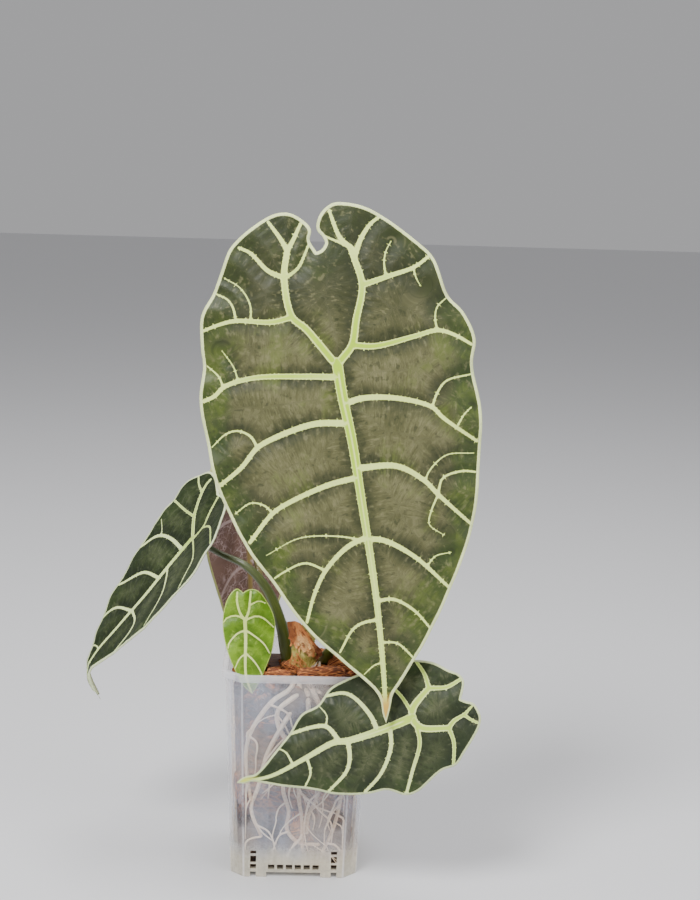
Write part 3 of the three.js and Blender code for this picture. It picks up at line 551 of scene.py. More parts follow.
@dataclass(frozen=True)
class LeafFinish:
    """The colours of one blade, painted sheen and shade among them, and how strongly it shows each of its
    markings.
    """

    name: str
    deep: Colour
    middle: Colour
    # the next colour is the painted highlight on the panels' crowns and crinkles
    painted_sheen: Colour
    flush: Colour
    vein: Colour
    core: Colour
    rim: Colour
    tip: Colour
    under: Colour
    under_vein: Colour
    under_rim: Colour
    shade: Colour
    under_rib: Colour = tint(150, 128, 76)
    flush_share: float = 0.5
    shade_share: float = 0.75
    shade_reach: float = 24.0
    core_reach: float = 110.0
    # how strongly painted shade darkens the rear lobes
    lobe_shade: float = 0.72
    tip_from: float = 149.0
    rim_width: float = 1.35
    spine: float = 1.3
    streak: float = 0.62
    roughness: float = 0.5
    shine: float = 0.26
    coat: float = 0.05

    def material(self) -> Material:
        """Builds the blade's material from the distances that its mesh stores.

        Returns:
            The material.
        """
        on = Readings(Graph(self.name))
        pale, margin = self._pale(on)
        panel = self._panel(on)
        # painted shade: the rear lobes, behind the junction, darken towards the deep colour
        panel = (on.y.step(2, -40) * self.lobe_shade).between(panel, self.deep)
        # painted highlights and shade of small crinkles: blotches lightened towards the sheen colour and
        # darkened towards the deep one
        crumple_light = on.graph.noise((on.along * 0.45, on.across * 0.3, 9.0), 1.0, 3.0, 0.55)
        crumple_light = crumple_light + (on.patches - 0.5) * 0.3
        panel = (crumple_light.step(0.53, 0.72) * 0.45).between(panel, self.painted_sheen)
        panel = (crumple_light.step(0.46, 0.3) * 0.6).between(panel, self.deep)
        light = self._cords(on, margin)
        upper = pale.between(panel, light)
        cusp = on.y.step(self.tip_from, self.tip_from + 8) * on.rim.step(0.35, 1.0)
        upper = cusp.between(upper, self.tip)
        below = self._underside(on)
        colour = on.face.step(-0.2, 0.2).between(below, upper)
        relief = (on.brush - 0.5) * 0.5 + (on.fine - 0.5) * 0.3 + (on.cells - 0.5) * 0.16
        normal = on.graph.bump(relief * (1 - pale * 0.6), 0.0005, 0.45)
        rough = (on.cells - 0.5) * 0.2 + (on.brush - 0.5) * 0.25 + pale * 0.1 + self.roughness
        return on.graph.surface(
            colour,
            rough,
            normal,
            Specular_IOR_Level=self.shine,
            Coat_Weight=self.coat,
            Coat_Roughness=0.3,
            Subsurface_Weight=0.05,
            Subsurface_Radius=(0.4, 0.6, 0.15),
            Subsurface_Scale=0.002,
        )

    def _pale(self, on: Readings) -> tuple[Term, Term]:
        """Masks the veins, whose edges are spiny, and the margin.

        Args:
            on: what the blade reads.

        Returns:
            The mask of both and the mask of the margin alone.
        """
        tooth = (on.along + on.cells * 1.6).pingpong(0.9) * (1 / 0.9)
        size = on.graph.noise((on.along, 2.0, 0.0), 0.5, 1.0).step(0.42, 0.72)
        reach = tooth**6.0 * size * self.spine + (on.cells - 0.5) * 0.18
        vein = (on.edge - reach).step(0.09, -0.13)
        margin_width = (on.cells - 0.5) * 0.5 + self.rim_width
        margin = (on.rim - margin_width).step(0.18, -0.18)
        return vein | margin, margin

    def _panel(self, on: Readings) -> Term:
        """Colours the panels: brushed, greyer with painted sheen over their crowns and darker with painted
        shade by the veins, dark green and lime near the margin.

        Args:
            on: what the blade reads.

        Returns:
            The colour.
        """
        # painted sheen and shade: the panels lighten towards their crowns and darken by the veins, with
        # brushed streaks and random tone mixed in
        crown = on.edge.step(-0.5, 7.0) * 0.4 + (on.brush - 0.5) * self.streak + (on.cloud - 0.5) * 0.9 + 0.3
        panel = crown.step(0.05, 0.75).between(self.deep, self.middle)
        panel = (crown + (on.fine - 0.5) * 0.7).step(0.5, 1.15).between(panel, self.painted_sheen)
        near = on.rim.step(self.shade_reach, 2.0)
        shade = (near + (on.patches - 0.5) * 1.5 + (on.brush - 0.5) * 0.5).step(0.3, 0.95)
        panel = (shade * self.shade_share).between(panel, self.shade)
        flush = (on.patches + (on.cloud - 0.5) * 0.7 + (on.brush - 0.5) * 0.4 + near * 0.12).step(0.56, 0.8)
        panel = (flush * self.flush_share).between(panel, self.flush)
        return (on.fine.step(0.6, 0.8) * 0.25 * on.edge.step(0.0, 3.0)).between(panel, self.deep)

    def _cords(self, on: Readings, margin: Term) -> Term:
        """Colours the veins and the margin; thick veins near the stalk are limy inside.

        Args:
            on: what the blade reads.
            margin: the margin's mask.

        Returns:
            The colour.
        """
        away = on.x * on.x + on.y * on.y
        near_stalk = away.step(self.core_reach**2, (self.core_reach * 0.2) ** 2)
        band = (on.ratio.step(0.06, 0.3) | away.step(36, 9)) * on.ratio.step(1.0, 0.72) * on.main
        heart = on.ratio.step(0.85, 0.4) * (1 - on.main) * away.step(56**2, 8**2) * on.y.step(9, 1)
        core = band * (near_stalk * 0.75 + 0.25) | heart
        cord = ((on.cells - 0.5) * 0.4 + (on.brush - 0.5) * 0.3 + 0.1).between(self.vein, self.core)
        cord = (core * 0.9).between(cord, self.core)
        return margin.between(cord, self.rim)

    def _underside(self, on: Readings) -> Term:
        """Colours the lower face: a dull sheet under a tangle of fine pale veins.

        Args:
            on: what the blade reads.

        Returns:
            The colour.
        """
        warp = on.graph.noise((on.x, on.y, 3.0), 0.22, 3.0, 0.6) * 6.0
        nets = []
        for scale, place in ((0.3, 0.0), (0.62, 11.0)):
            spot = (on.x + warp, on.y * 0.7 - warp + place, place)
            nets.append(on.graph.cracks(spot, scale))
        fine_veins = nets[0].step(0.055, 0.01) * 0.8 | nets[1].step(0.06, 0.01) * 0.45
        strength = on.graph.noise((on.x, on.y, 12.0), 0.12, 2.0).step(0.3, 0.62)
        below = (on.cloud.step(0.3, 0.75) * 0.5).between(self.under, self.deep)
        below = (fine_veins * strength).between(below, self.under_vein)
        below = (on.edge.step(0.3, -0.2) * 0.7).between(below, self.under_vein)
        below = (on.edge.step(0.9, -0.3) * on.main).between(below, self.under_rib)
        return (on.rim + (on.cells - 0.5) * 0.5).step(1.25, 0.85).between(below, self.under_rim)


@dataclass
class Blade:
    """A leaf's blade, drawn in its own plane from the stalk's junction to the tip."""

    name: str
    junction: Point
    tip: Point
    faces: Point
    finish: LeafFinish
    plus_margin: tuple[PlanPoint, ...]
    minus_margin: tuple[PlanPoint, ...]
    veins: tuple[Vein, ...]
    thickness: float = 0.9
    spacing: float = 0.9
    arch: float = 3.0
    half_width: float = 30.0
    tip_drop: float = 2.0
    tip_reach: float = 80.0
    lobe_drop: float = 3.0
    lobe_reach: float = 30.0
    fold: float = 0.0
    wave: float = 1.0
    wave_length: float = 20.0
    quilt: float = 1.0
    quilt_reach: float = 4.0
    tail_from: float = 500.0
    tail_drop: float = 0.0
    pleat: float = 0.12
    swell: float = 0.0
    swell_from: float = 500.0
    cord: float = 0.06
    rib_stand: float = 0.4
    rim_share: float = 0.6
    rim_taper: float = 1.6
    cord_fade: float = 2.0
    swell_rise: float = 5.0
    swell_fade: float = 0.6
    pleat_pitch: float = 1.35
    pleat_start: float = 1.2
    pleat_reach: float = 6.5
    scatter: float = 0.06

    def __post_init__(self) -> None:
        """Works out the blade's axes and lays out its veins as straight pieces."""
        self.origin = np.array(self.junction, float)
        self.y_axis = np.array(self.tip, float) - self.origin
        self.y_axis /= np.linalg.norm(self.y_axis)
        facing = np.array(self.faces, float)
        facing -= self.y_axis * facing.dot(self.y_axis)
        self.normal = facing / np.linalg.norm(facing)
        self.x_axis = np.cross(self.y_axis, self.normal)
        starts, ends, widths, alongs = [], [], [], []
        for index, vein in enumerate(self.veins):
            line = smooth_course(vein.course, 2.0)
            count = len(line) - 1
            share = np.linspace(0, 1, count + 1)
            width = vein.start + (vein.end - vein.start) * share
            length = np.linalg.norm(line[1] - line[0])
            starts.append(line[:-1])
            ends.append(line[1:])
            widths.append(np.stack([width[:-1], width[1:]], axis=1))
            steps = np.stack([np.arange(count), np.arange(1, count + 1)], axis=1)
            alongs.append(steps * length + (index * VEIN_SHIFT + FIRST_SIDE if index else 0.0))
        self.starts = np.vstack(starts)
        self.ends = np.vstack(ends)
        self.widths = np.vstack(widths)
        self.alongs = np.vstack(alongs)

    def outline(self, step: float) -> Array:
        """Draws the margin as one closed row of points, up one side of the notch and down the other.

        Args:
            step: the spacing of its points.

        Returns:
            The points.
        """
        plus = smooth_course(self.plus_margin, step)
        minus = smooth_course(self.minus_margin, step)
        return np.vstack([plus, minus[-2:0:-1]])

    def measure(self, plan: Array, outline: Array) -> dict[str, Array]:
        """Measures points of the plane against the veins and the margin.

        Args:
            plan: the points.
            outline: the margin, as a closed row of points.

        Returns:
            centre (distance to the nearest vein's middle line), edge (to its edge), along, ratio, width,
            main (1 on the midrib), rib (how far a rib stands out below) and rim (distance to the margin).
        """
        rows: dict[str, list[Array]] = {key: [] for key in MEASURES}
        around = np.roll(outline, -1, axis=0)
        for low in range(0, len(plan), BATCH):
            part = plan[low : low + BATCH]
            distance, share = nearest(part, self.starts, self.ends)
            width = self.widths[:, 0] + (self.widths[:, 1] - self.widths[:, 0]) * share
            beyond = distance - width / 2
            pick = (np.arange(len(part)), beyond.argmin(1))
            start, end = self.alongs[pick[1]].T
            found = (
                distance.min(1),
                beyond[pick],
                start + (end - start) * share[pick],
                distance[pick] / (width[pick] / 2),
                width[pick],
                (start < FIRST_SIDE - 1).astype(float),
                (self.rib_stand * width * np.exp(-((distance / width) ** 2))).max(1),
                nearest(part, outline, around)[0].min(1),
            )
            for row, values in zip(rows.values(), found):
                row.append(values)
        return {key: np.concatenate(parts) for key, parts in rows.items()}

    def height(self, plan: Array, found: dict[str, Array]) -> Array:
        """Gives how high the middle surface stands over the blade's plane.

        Args:
            plan: points of the plane.
            found: their measures.

        Returns:
            A height for each point.
        """
        x, y = plan[:, 0], plan[:, 1]
        across = self.arch * (x / self.half_width) ** 2
        ahead = self.tip_drop * (y / self.tip_reach) ** 2
        behind = self.lobe_drop * (y / self.lobe_reach) ** 2
        tail = self.tail_drop * np.maximum(0, y - self.tail_from) ** 2
        fold = self.fold * (np.hypot(x, 1) - 1)
        swing = np.sin(2 * math.pi * y / self.wave_length + np.where(x > 0, 0, 1.7))
        wave = self.wave * np.minimum(1, (x / self.half_width) ** 2) * swing
        quilt = self.quilt * (1 - np.exp(-((found["centre"] / self.quilt_reach) ** 2)))
        return fold - across - np.where(y > 0, ahead, behind) - tail + wave + quilt

    def pleats(self, found: dict[str, Array]) -> Array:
        """Gives the small folds that cross each panel from its veins.

        Args:
            found: the points' measures.

        Returns:
            A height for each point.
        """
        along, edge = found["along"], np.maximum(found["edge"], 0)
        swing = np.sin(along * self.pleat_pitch + 1.3 * np.sin(along * 0.37))
        swing += 0.6 * np.sin(along * 2.9 + 1.0)
        rise = 1 - np.exp(-edge / self.pleat_start)
        return self.pleat * swing * rise * np.exp(-((edge / self.pleat_reach) ** 2))

    def place(self, plan: Array, height: Array) -> Array:
        """Puts points of the plane at their heights in the pot's frame."""
        flat = plan[:, :1] * self.x_axis + plan[:, 1:2] * self.y_axis
        return self.origin + flat + height[:, None] * self.normal

    def plan_mesh(self) -> tuple[Array, Faces, Array]:
        """Fills the margin with fine even triangles that follow the veins.

        Returns:
            The points, the triangles and the margin.
        """
        outline = self.outline(self.spacing)
        low, high = outline.min(0), outline.max(0)
        rows = np.arange(low[1], high[1], self.spacing * math.sqrt(0.75))
        columns = np.arange(low[0], high[0], self.spacing)
        grid = np.array([(x + (i % 2) * self.spacing / 2, y) for i, y in enumerate(rows) for x in columns])
        grid += np.random.default_rng(5).uniform(-self.scatter, self.scatter, grid.shape) * self.spacing
        around = np.roll(outline, -1, axis=0)
        inside = np.zeros(len(grid), bool)
        for (ax, ay), (bx, by) in zip(outline, around):
            crosses = (ay > grid[:, 1]) != (by > grid[:, 1])
            level = (grid[:, 1] - ay) / (by - ay if by != ay else 1e-12)
            inside ^= crosses & (grid[:, 0] < ax + level * (bx - ax))
        grid = grid[inside]
        lines = np.vstack([smooth_course(vein.course, self.spacing * 0.9) for vein in self.veins])
        cord = grid[:0]
        for spot in lines:
            if len(cord) == 0 or np.linalg.norm(cord - spot, axis=1).min() > self.spacing * 0.4:
                cord = np.vstack([cord, spot])
        cord = self._clear(cord, outline, around)
        fill = self._clear(grid, outline, around)
        batches = [fill[i : i + BATCH, None] for i in range(0, len(fill), BATCH)]
        off_cord = np.concatenate([np.linalg.norm(batch - cord, axis=2).min(1) for batch in batches])
        points = np.vstack([outline, cord, fill[off_cord > self.spacing * 0.5]])
        count = len(outline)
        edges = [(i, (i + 1) % count) for i in range(count)]
        result = delaunay_2d_cdt([Vector(p) for p in points], edges, [], 1, 1e-6)
        plan = np.array([tuple(p) for p in result[0]])
        return plan, [tuple(f) for f in result[2]], outline

    def _clear(self, spots: Array, starts: Array, ends: Array) -> Array:
        """Keeps the points that stay half the spacing away from the margin's straight pieces."""
        parts = [nearest(spots[i : i + BATCH], starts, ends)[0].min(1) for i in range(0, len(spots), BATCH)]
        return spots[np.concatenate(parts) > self.spacing * 0.5]

    def build(self, site: Site) -> Piece:
        """Makes the blade as one closed thin piece with both of its faces.

        Args:
            site: where the pot's axis stands.

        Returns:
            The piece.
        """
        plan, triangles, outline = self.plan_mesh()
        found = self.measure(plan, outline)
        middle = self.height(plan, found)
        rim = found["rim"]
        share = self.rim_share + (1 - self.rim_share) * np.clip(rim / self.rim_taper, 0, 1)
        half = self.thickness / 2 * share
        swell = self.swell * np.clip((plan[:, 1] - self.swell_from) / self.swell_rise, 0, 1)
        half += swell * np.clip(rim / self.swell_fade, 0, 1)
        fade = np.clip(rim / self.cord_fade, 0, 1)
        cord = self.cord * found["width"] * np.sqrt(np.clip(1 - found["ratio"] ** 2, 0, 1)) * fade
        pleats = self.pleats(found)
        upper = self.place(plan, middle + half + pleats + cord)
        lower = self.place(plan, middle - half - found["rib"] * fade + pleats)
        count = len(plan)
        faces = list(triangles)
        faces.extend((a + count, c + count, b + count) for a, b, c in triangles)
        border: dict[tuple[int, int], None] = {}
        for a, b, c in triangles:
            for one, two in ((a, b), (b, c), (c, a)):
                if (two, one) in border:
                    del border[(two, one)]
                else:
                    border[(one, two)] = None
        faces.extend(edge_band(border, count))
        mesh = site.mesh(self.name, np.vstack([upper, lower]), faces)
        sides = np.repeat([Face.UPPER.value, Face.LOWER.value], count)
        doubled = {key: np.tile(value, 2) for key, value in found.items()}
        store(mesh, "plan", np.column_stack([np.tile(plan, (2, 1)), sides]))
        for name, keys in (("vein", ("edge", "along", "ratio")), ("rim", ("rim", "centre", "main"))):
            store(mesh, name, np.column_stack([doubled[key] for key in keys]))
        bm = bmesh.new()
        bm.from_mesh(mesh)
        bmesh.ops.recalc_face_normals(bm, faces=bm.faces)
        bm.to_mesh(mesh)
        bm.free()
        return make_object(f"{self.name}_leaf", mesh, self.finish.material())

    def back_limit(self, points: Array, sink: float) -> Array:
        """Presses points that would pass through the blade flat against its back.

        Args:
            points: points in the pot's frame.
            sink: how far under the back's skin they may reach.

        Returns:
            The points, with those too far forward moved back along the blade's normal.
        """
        offset = points - self.origin
        plan = np.stack([offset @ self.x_axis, offset @ self.y_axis], axis=1)
        height = offset @ self.normal
        found = self.measure(plan, self.outline(3.0))
        back = self.height(plan, found) - self.thickness / 2 - found["rib"] + sink
        excess = np.maximum(0, height - back)
        return points - excess[:, None] * self.normal


@dataclass(frozen=True)
class StalkFinish:
    """Waxy stalk skin with fine lengthwise lines."""

    name: str
    low: Colour
    high: Colour
    line: Colour
    roughness: float = 0.42

    def material(self) -> Material:
        """Builds the skin from each point's angle and length along the stalk.

        Returns:
            The material.
        """
        graph = Graph(self.name)
        angle, length, share = graph.stored("grain")
        lines = graph.noise((angle * 3.0, length * 0.06, 0.0), 2.2, 3.0, 0.6)
        blotches = graph.noise((angle * 1.2, length * 0.25, 3.0), 0.9, 3.0, 0.6)
        pores = graph.noise((angle * 5.0, length * 1.8, 9.0), 2.0, 2.0)
        colour = (share + (blotches - 0.5) * 0.5).step(0.05, 0.9).between(self.low, self.high)
        colour = (lines.step(0.45, 0.75) * 0.5).between(colour, self.line)
        colour = (pores.step(0.62, 0.72) * 0.25).between(colour, self.low)
        normal = graph.bump((lines - 0.5) * 0.8 + (pores - 0.5) * 0.2, 0.0003, 0.5)
        rough = (pores - 0.5) * 0.2 + self.roughness
        return graph.surface(
            colour,
            rough,
            normal,
            Coat_Weight=0.15,
            Subsurface_Weight=0.08,
            Subsurface_Radius=(0.5, 0.7, 0.2),
            Subsurface_Scale=0.003,
        )


@dataclass
class Stalk:
    """A leaf's stalk, from the crown or the mix to the back of its blade."""

    name: str
    blade: Blade
    finish: StalkFinish
    route: tuple[Point, ...]
    radii: tuple[float, ...]
    sides: int = 28
    step: float = 1.1
    sink: float = 0.25
    bury: float = 1.5

    def build(self, site: Site) -> Piece:
        """Makes the stalk, pressed against the back of its blade at its end.

        Args:
            site: where the pot's axis stands.

        Returns:
            The piece.
        """
        inside = np.array(self.blade.junction) + np.array(self.blade.faces) * self.bury
        route = smooth_course([*self.route, tuple(inside)], self.step)
        places = np.linspace(0, len(self.radii) - 1, len(route))
        radii = np.interp(places, np.arange(len(self.radii)), self.radii)

        def flute(angle: float, length: float) -> float:
            """Ridges the skin slightly."""
            return 0.025 * math.sin(5 * angle + 0.02 * length) + 0.012 * math.sin(11 * angle + 0.05 * length)

        points, faces, grain = tube(route, radii, self.sides, flute)
        mesh = site.mesh(self.name, self.blade.back_limit(points, self.sink), faces)
        store(mesh, "grain", grain)
        return make_object(f"{self.name}_skin", mesh, self.finish.material())


@dataclass(frozen=True)
class HuskFinish:
    """Coconut husk: red-brown chips with a net of paler fibres along their grain, and painted shade in the
    hollows between them.
    """

    name: str = "husk"
    hollow_shade: Colour = tint(22, 12, 9)
    dark: Colour = tint(52, 22, 12)
    mid: Colour = tint(120, 50, 18)
    pale: Colour = tint(224, 140, 74)

    def material(self) -> Material:
        """Builds the husk from each chip's own grain coordinates, and from the lift that sets its painted
        shade.

        Returns:
            The material.
        """
        graph = Graph(self.name)
        along, across, tone = graph.stored("grain")
        lift, _, _ = graph.stored("lift")
        fibres = graph.noise((along * 0.12, across, tone * 20.0), 1.7, 5.0, 0.7)
        net = graph.cracks((along * 0.22, across + fibres * 0.8, tone * 20.0), 0.95)
        lumps = graph.noise((along, across, tone * 9.0), 0.16, 3.0)
        strands = net.step(0.2, 0.02)
        colour = (fibres + (lumps - 0.5) * 0.7).step(0.3, 0.7).between(self.dark, self.mid)
        colour = (strands * 0.75).between(colour, self.pale)
        colour = (tone.step(0.45, 1.0) * 0.5).between(colour, self.dark)
        # painted shade: points that sit low among the chips, or deep in the pot, darken towards the
        # near-black colour
        colour = ((lift + lumps * 2.0).step(3.6, 0.4) * 0.85).between(colour, self.hollow_shade)
        normal = graph.bump(strands * 0.6 + (fibres - 0.5) * 0.7, 0.0007, 0.8)
        return graph.surface(colour, 0.86, normal)


class JsRandom:
    """The same stream of numbers that the solid chips are placed by."""

    FACTOR = 1664525
    OFFSET = 1013904223
    RANGE = 2**32

    def __init__(self, seed: int) -> None:
        """Starts the stream."""
        self.state = seed

    def next(self) -> float:
        """Draws a number from 0 to 1."""
        self.state = (self.state * self.FACTOR + self.OFFSET) % self.RANGE
        return self.state / self.RANGE

    def between(self, low: float, high: float) -> float:
        """Draws a number between two limits."""
        return low + (high - low) * self.next()


@dataclass(frozen=True)
class Chip:
    """One husk chip: its middle, its length, width and thickness, its turn and its tilt in degrees."""

    at: Point
    size: Point
    turn: float
    tilt: float


@dataclass(frozen=True)
class PotForm:
    """The pot's driving sizes."""

    height: float = 100.0
    foot_half: float = 30.0
    top_half: float = 34.0
    foot_chamfer: float = 6.5
    top_chamfer: float = 8.0
    wall: float = 1.2
    floor_top: float = 3.4

    def half(self, z: float) -> float:
        """Gives half the outer width at a height."""
        return self.foot_half + (self.top_half - self.foot_half) * z / self.height

    def ring(self, z: float, inset: float) -> Array:
        """Gives the eight corners of the outline at a height, drawn in by an inset.

        Args:
            z: the height.
            inset: how far it is drawn in.

        Returns:
            The corners.
        """
        half = self.half(z) - inset
        chamfer = self.foot_chamfer + (self.top_chamfer - self.foot_chamfer) * z / self.height
        near = half - (chamfer - inset * 0.586)
        corners = [(near, -half), (half, -near), (half, near), (near, half)]
        corners += [(-x, -y) for x, y in corners]
        return np.array([(x, y, z) for x, y in corners])


@dataclass
class PottingMix:
    """Husk chips over a dark bed that fills the pot, with painted shade in the hollows between the chips and
    low in the pot.
    """

    pot: PotForm = PotForm()
    gap: float = 0.3
    rim: float = 92.0
    crown: float = 3.5
    dip: float = 7.0
    dip_at: PlanPoint = (-21.0, -27.0)
    dip_reach: float = 10.0
    top_count: int = 26
    spread: float = 24.0
    seed: int = 11
    top_sizes: tuple[Span, ...] = ((9, 20), (6, 11), (3, 6))
    top_tilt: float = 22
    wall_chips: int = 40
    wall_sizes: tuple[Span, ...] = ((9, 19), (6, 12), (3, 5))
    wall_heights: Span = (9, 88)
    wall_depth: float = 2.2
    wall_tip: float = 9
    bed_cells: int = 4
    cell: float = 1.15
    rounding: float = 0.1
    ripple: float = 0.6
    large: tuple[Chip, ...] = (
        Chip((10, -25, 99), (25, 10, 6), 6, -4),
        Chip((-9, -25, 98), (13, 10, 5), -12, 9),
        Chip((21, -8, 99), (14, 12, 8), 35, 12),
        Chip((-27, -4, 94), (12, 9, 6), 70, 15),
        Chip((-32, 15, 102.5), (19, 10, 3), 0, 62),
    )

    def top(self, x: float, y: float) -> float:
        """Gives the bed's height at a place, away from its chips.

        Args:
            x: the place across.
            y: the place from front to back.

        Returns:
            The height.
        """
        crown = self.crown * math.exp(-(x * x + (y - 6) ** 2) / 700)
        reach = (x - self.dip_at[0]) ** 2 + (y - self.dip_at[1]) ** 2
        dip = self.dip * math.exp(-reach / self.dip_reach**2)
        return self.rim + crown - dip + self.ripple * math.sin(x / 3.1) * math.cos(y / 3.7)

    def form(self, builder: PieceBuilder, chip: Chip, corners: Array, tone: float) -> None:
        """Adds a chip's mesh: a box with uneven corners, rounded edges and a fibrous skin.

        Args:
            builder: what the mesh is added to.
            chip: the chip.
            corners: for each of its eight corners, how much of each half size it reaches.
            tone: its shade, from 0 to 1.
        """
        lengths = np.array(chip.size) / 2
        cells = [max(4, round(size / self.cell)) for size in chip.size]
        numbers: dict[tuple[int, ...], int] = {}
        faces = []
        for axis in range(3):
            u, v = [other for other in range(3) if other != axis]
            for side in (0, cells[axis]):
                flip = (side == 0) == (axis != 1)
                for a, b in np.ndindex(cells[u], cells[v]):
                    quad = []
                    for du, dv in ((0, 0), (1, 0), (1, 1), (0, 1)):
                        spot = [0, 0, 0]
                        spot[axis], spot[u], spot[v] = side, a + du, b + dv
                        quad.append(numbers.setdefault(tuple(spot), len(numbers)))
                    faces.append(quad[::-1] if flip else quad)
        unit = np.array([[2 * at / count - 1 for at, count in zip(spot, cells)] for spot in numbers])
        weight = (unit[:, None] * np.sign(corners[None]) + 1) / 2
        reach = weight.prod(2) @ np.abs(corners)
        edges = np.roll(unit, 1, axis=1) ** 4 + np.roll(unit, 2, axis=1) ** 4
        rounded = unit * (1 - self.rounding * edges)
        local = rounded * reach * lengths
        turn = np.array(rotation(chip.turn, "Z") @ rotation(chip.tilt, "Y"))
        placed = local @ turn.T + np.array(chip.at)
        for i, (spot, raw) in enumerate(zip(placed, local)):
            coarse = noise.noise(Vector(spot) * 0.22)
            ridge = noise.noise(Vector((raw[0] * 0.12, raw[1] * 1.1, raw[2] * 1.1 + tone * 30)))
            direction = unit[i] / max(1e-6, np.linalg.norm(unit[i]))
            placed[i] = spot + (turn @ direction) * (0.4 * coarse + 0.55 * ridge - 0.3)
        grain = np.column_stack([local[:, 0], local[:, 1] + local[:, 2] * 1.3, np.full(len(local), tone)])
        builder.add(placed, faces, grain, self.lift(placed))

    def lift(self, points: Array) -> Array:
        """Tells how far points stand over the bed, which sets the painted shade in the hollows between chips;
        points low in the pot count as deep in it.
        """
        over = [z - self.top(x, y) if z > self.rim - 12 else (3.0 if z > 17 else -6.0) for x, y, z in points]
        return np.column_stack([over, np.zeros(len(points)), np.zeros(len(points))])

    def solid_chips(self) -> list[tuple[Chip, Array]]:
        """Gives the chips of the solid model, with the reach of their corners.

        Returns:
            The chips, each with its corners.
        """
        signs = [(a, b, c * a) for a in (1, -1) for b in (1, -1) for c in (1, -1)]
        stream = JsRandom(self.seed)

        def corners() -> Array:
            """Draws how far each corner reaches."""
            return np.array([[s * (1 - 0.26 * stream.next()) for s in sign] for sign in signs])

        chips = [(chip, corners()) for chip in self.large]
        for _ in range(self.top_count):
            x, y = stream.between(-self.spread, self.spread), stream.between(-self.spread, self.spread)
            size = tuple(stream.between(*span) for span in self.top_sizes)
            reach = max(abs(x), abs(y)) + size[0] / 2
            drawn = min(1, (self.pot.top_half - self.pot.wall - 2) / reach)
            at = (x * drawn, y * drawn, self.top(x, y) + stream.between(0, 2))
            turn = stream.between(0, 180)
            chips.append((Chip(at, size, turn, stream.between(-self.top_tilt, self.top_tilt)), corners()))
        return chips

    def build(self, site: Site) -> Piece:
        """Makes the mix as one piece: its bed, the chips along the walls and those on top.

        Args:
            site: where the pot's axis stands.

        Returns:
            The piece.
        """
        builder = PieceBuilder()
        draw = np.random.default_rng(23)
        self._bed(builder)
        for chip, corners in self.solid_chips():
            self.form(builder, chip, corners, draw.uniform(0, 0.8))
        signs = np.array([(a, b, c) for a in (-1, 1) for b in (-1, 1) for c in (-1, 1)], float)
        for side in range(4):
            for _ in range(self.wall_chips):
                z = draw.uniform(*self.wall_heights)
                size = tuple(draw.uniform(*span) for span in self.wall_sizes)
                face = self.pot.half(z) - self.pot.wall - 1.1 - size[2] / 2 - draw.uniform(0, self.wall_depth)
                reach = face - 6
                across = draw.uniform(-reach, reach)
                corners = signs * draw.uniform(0.7, 1.0, signs.shape)
                flat = PieceBuilder()
                self.form(flat, Chip((0, 0, 0), size, draw.uniform(0, 180), 0), corners, draw.uniform(0, 1))
                upright = rotation(draw.uniform(-self.wall_tip, self.wall_tip), "X") @ rotation(90, "X")
                points = flat.points[0] @ np.array(upright).T + np.array((across, -face, z))
                points[:, 1] = np.maximum(points[:, 1], -(self.pot.half(z) - self.pot.wall - 0.9))
                turned = points @ np.array(rotation(side * 90, "Z")).T
                builder.add(turned, flat.faces, flat.grain[0], self.lift(turned))
        return builder.build(site, "husk_mix", HuskFinish().material())

    def _bed(self, builder: PieceBuilder) -> None:
        """Adds the bed under the chips, a little inside the walls.

        Args:
            builder: what it is added to.
        """
        heights = (self.pot.floor_top + self.gap, 40.0, self.rim - 4)
        rings = [self.pot.ring(z, self.pot.wall + 2.6) for z in heights]
        for scale in (0.96, 0.7, 0.4, 0.1):
            ring = self.pot.ring(self.rim, self.pot.wall + 1.2) * scale
            ring[:, 2] = [self.top(x, y) - 1.0 for x, y in ring[:, :2]]
            rings.append(ring)
        points = []
        for ring in rings:
            for corner, after in zip(ring, np.roll(ring, -1, axis=0)):
                for k in range(self.bed_cells):
                    points.append(corner + (after - corner) * k / self.bed_cells)
        count = len(points) // len(rings)
        faces = bands(len(rings), count)
        top = (len(rings) - 1) * count
        faces.append(tuple(range(count))[::-1])
        faces.append(tuple(top + i for i in range(count)))
        rows = np.array(points)
        x, y, z = rows.T
        # the third value gives the bed a dark tone; its lift adds painted shade at its top and near the pot's
        # floor
        grain = np.column_stack([x + z, y + z * 0.4, np.full(len(rows), 0.95)])
        builder.add(rows, faces, grain, self.lift(rows))


@dataclass(frozen=True)
class RootFinish:
    """Pale, slightly pink root skin that browns towards its tips."""

    name: str = "root_skin"
    pale: Colour = tint(250, 238, 218)
    pink: Colour = tint(238, 208, 180)
    brown: Colour = tint(196, 160, 118)

    def material(self) -> Material:
        """Builds the root's skin from its angle and length.

        Returns:
            The material.
        """
        graph = Graph(self.name)
        angle, length, share = graph.stored("grain")
        rings = graph.noise((angle * 0.6, length * 0.8, 0.0), 1.3, 4.0, 0.65)
        cloud = graph.noise((angle, length * 0.2, 5.0), 0.5, 2.0)
        colour = (rings + (cloud - 0.5)).step(0.25, 0.8).between(self.pale, self.pink)
        colour = ((share - 0.1) * 0.35 + (rings - 0.5) * 0.6).step(0.1, 0.5).between(colour, self.brown)
        normal = graph.bump(rings, 0.0004, 0.6)
        return graph.surface(colour, 0.62, normal)


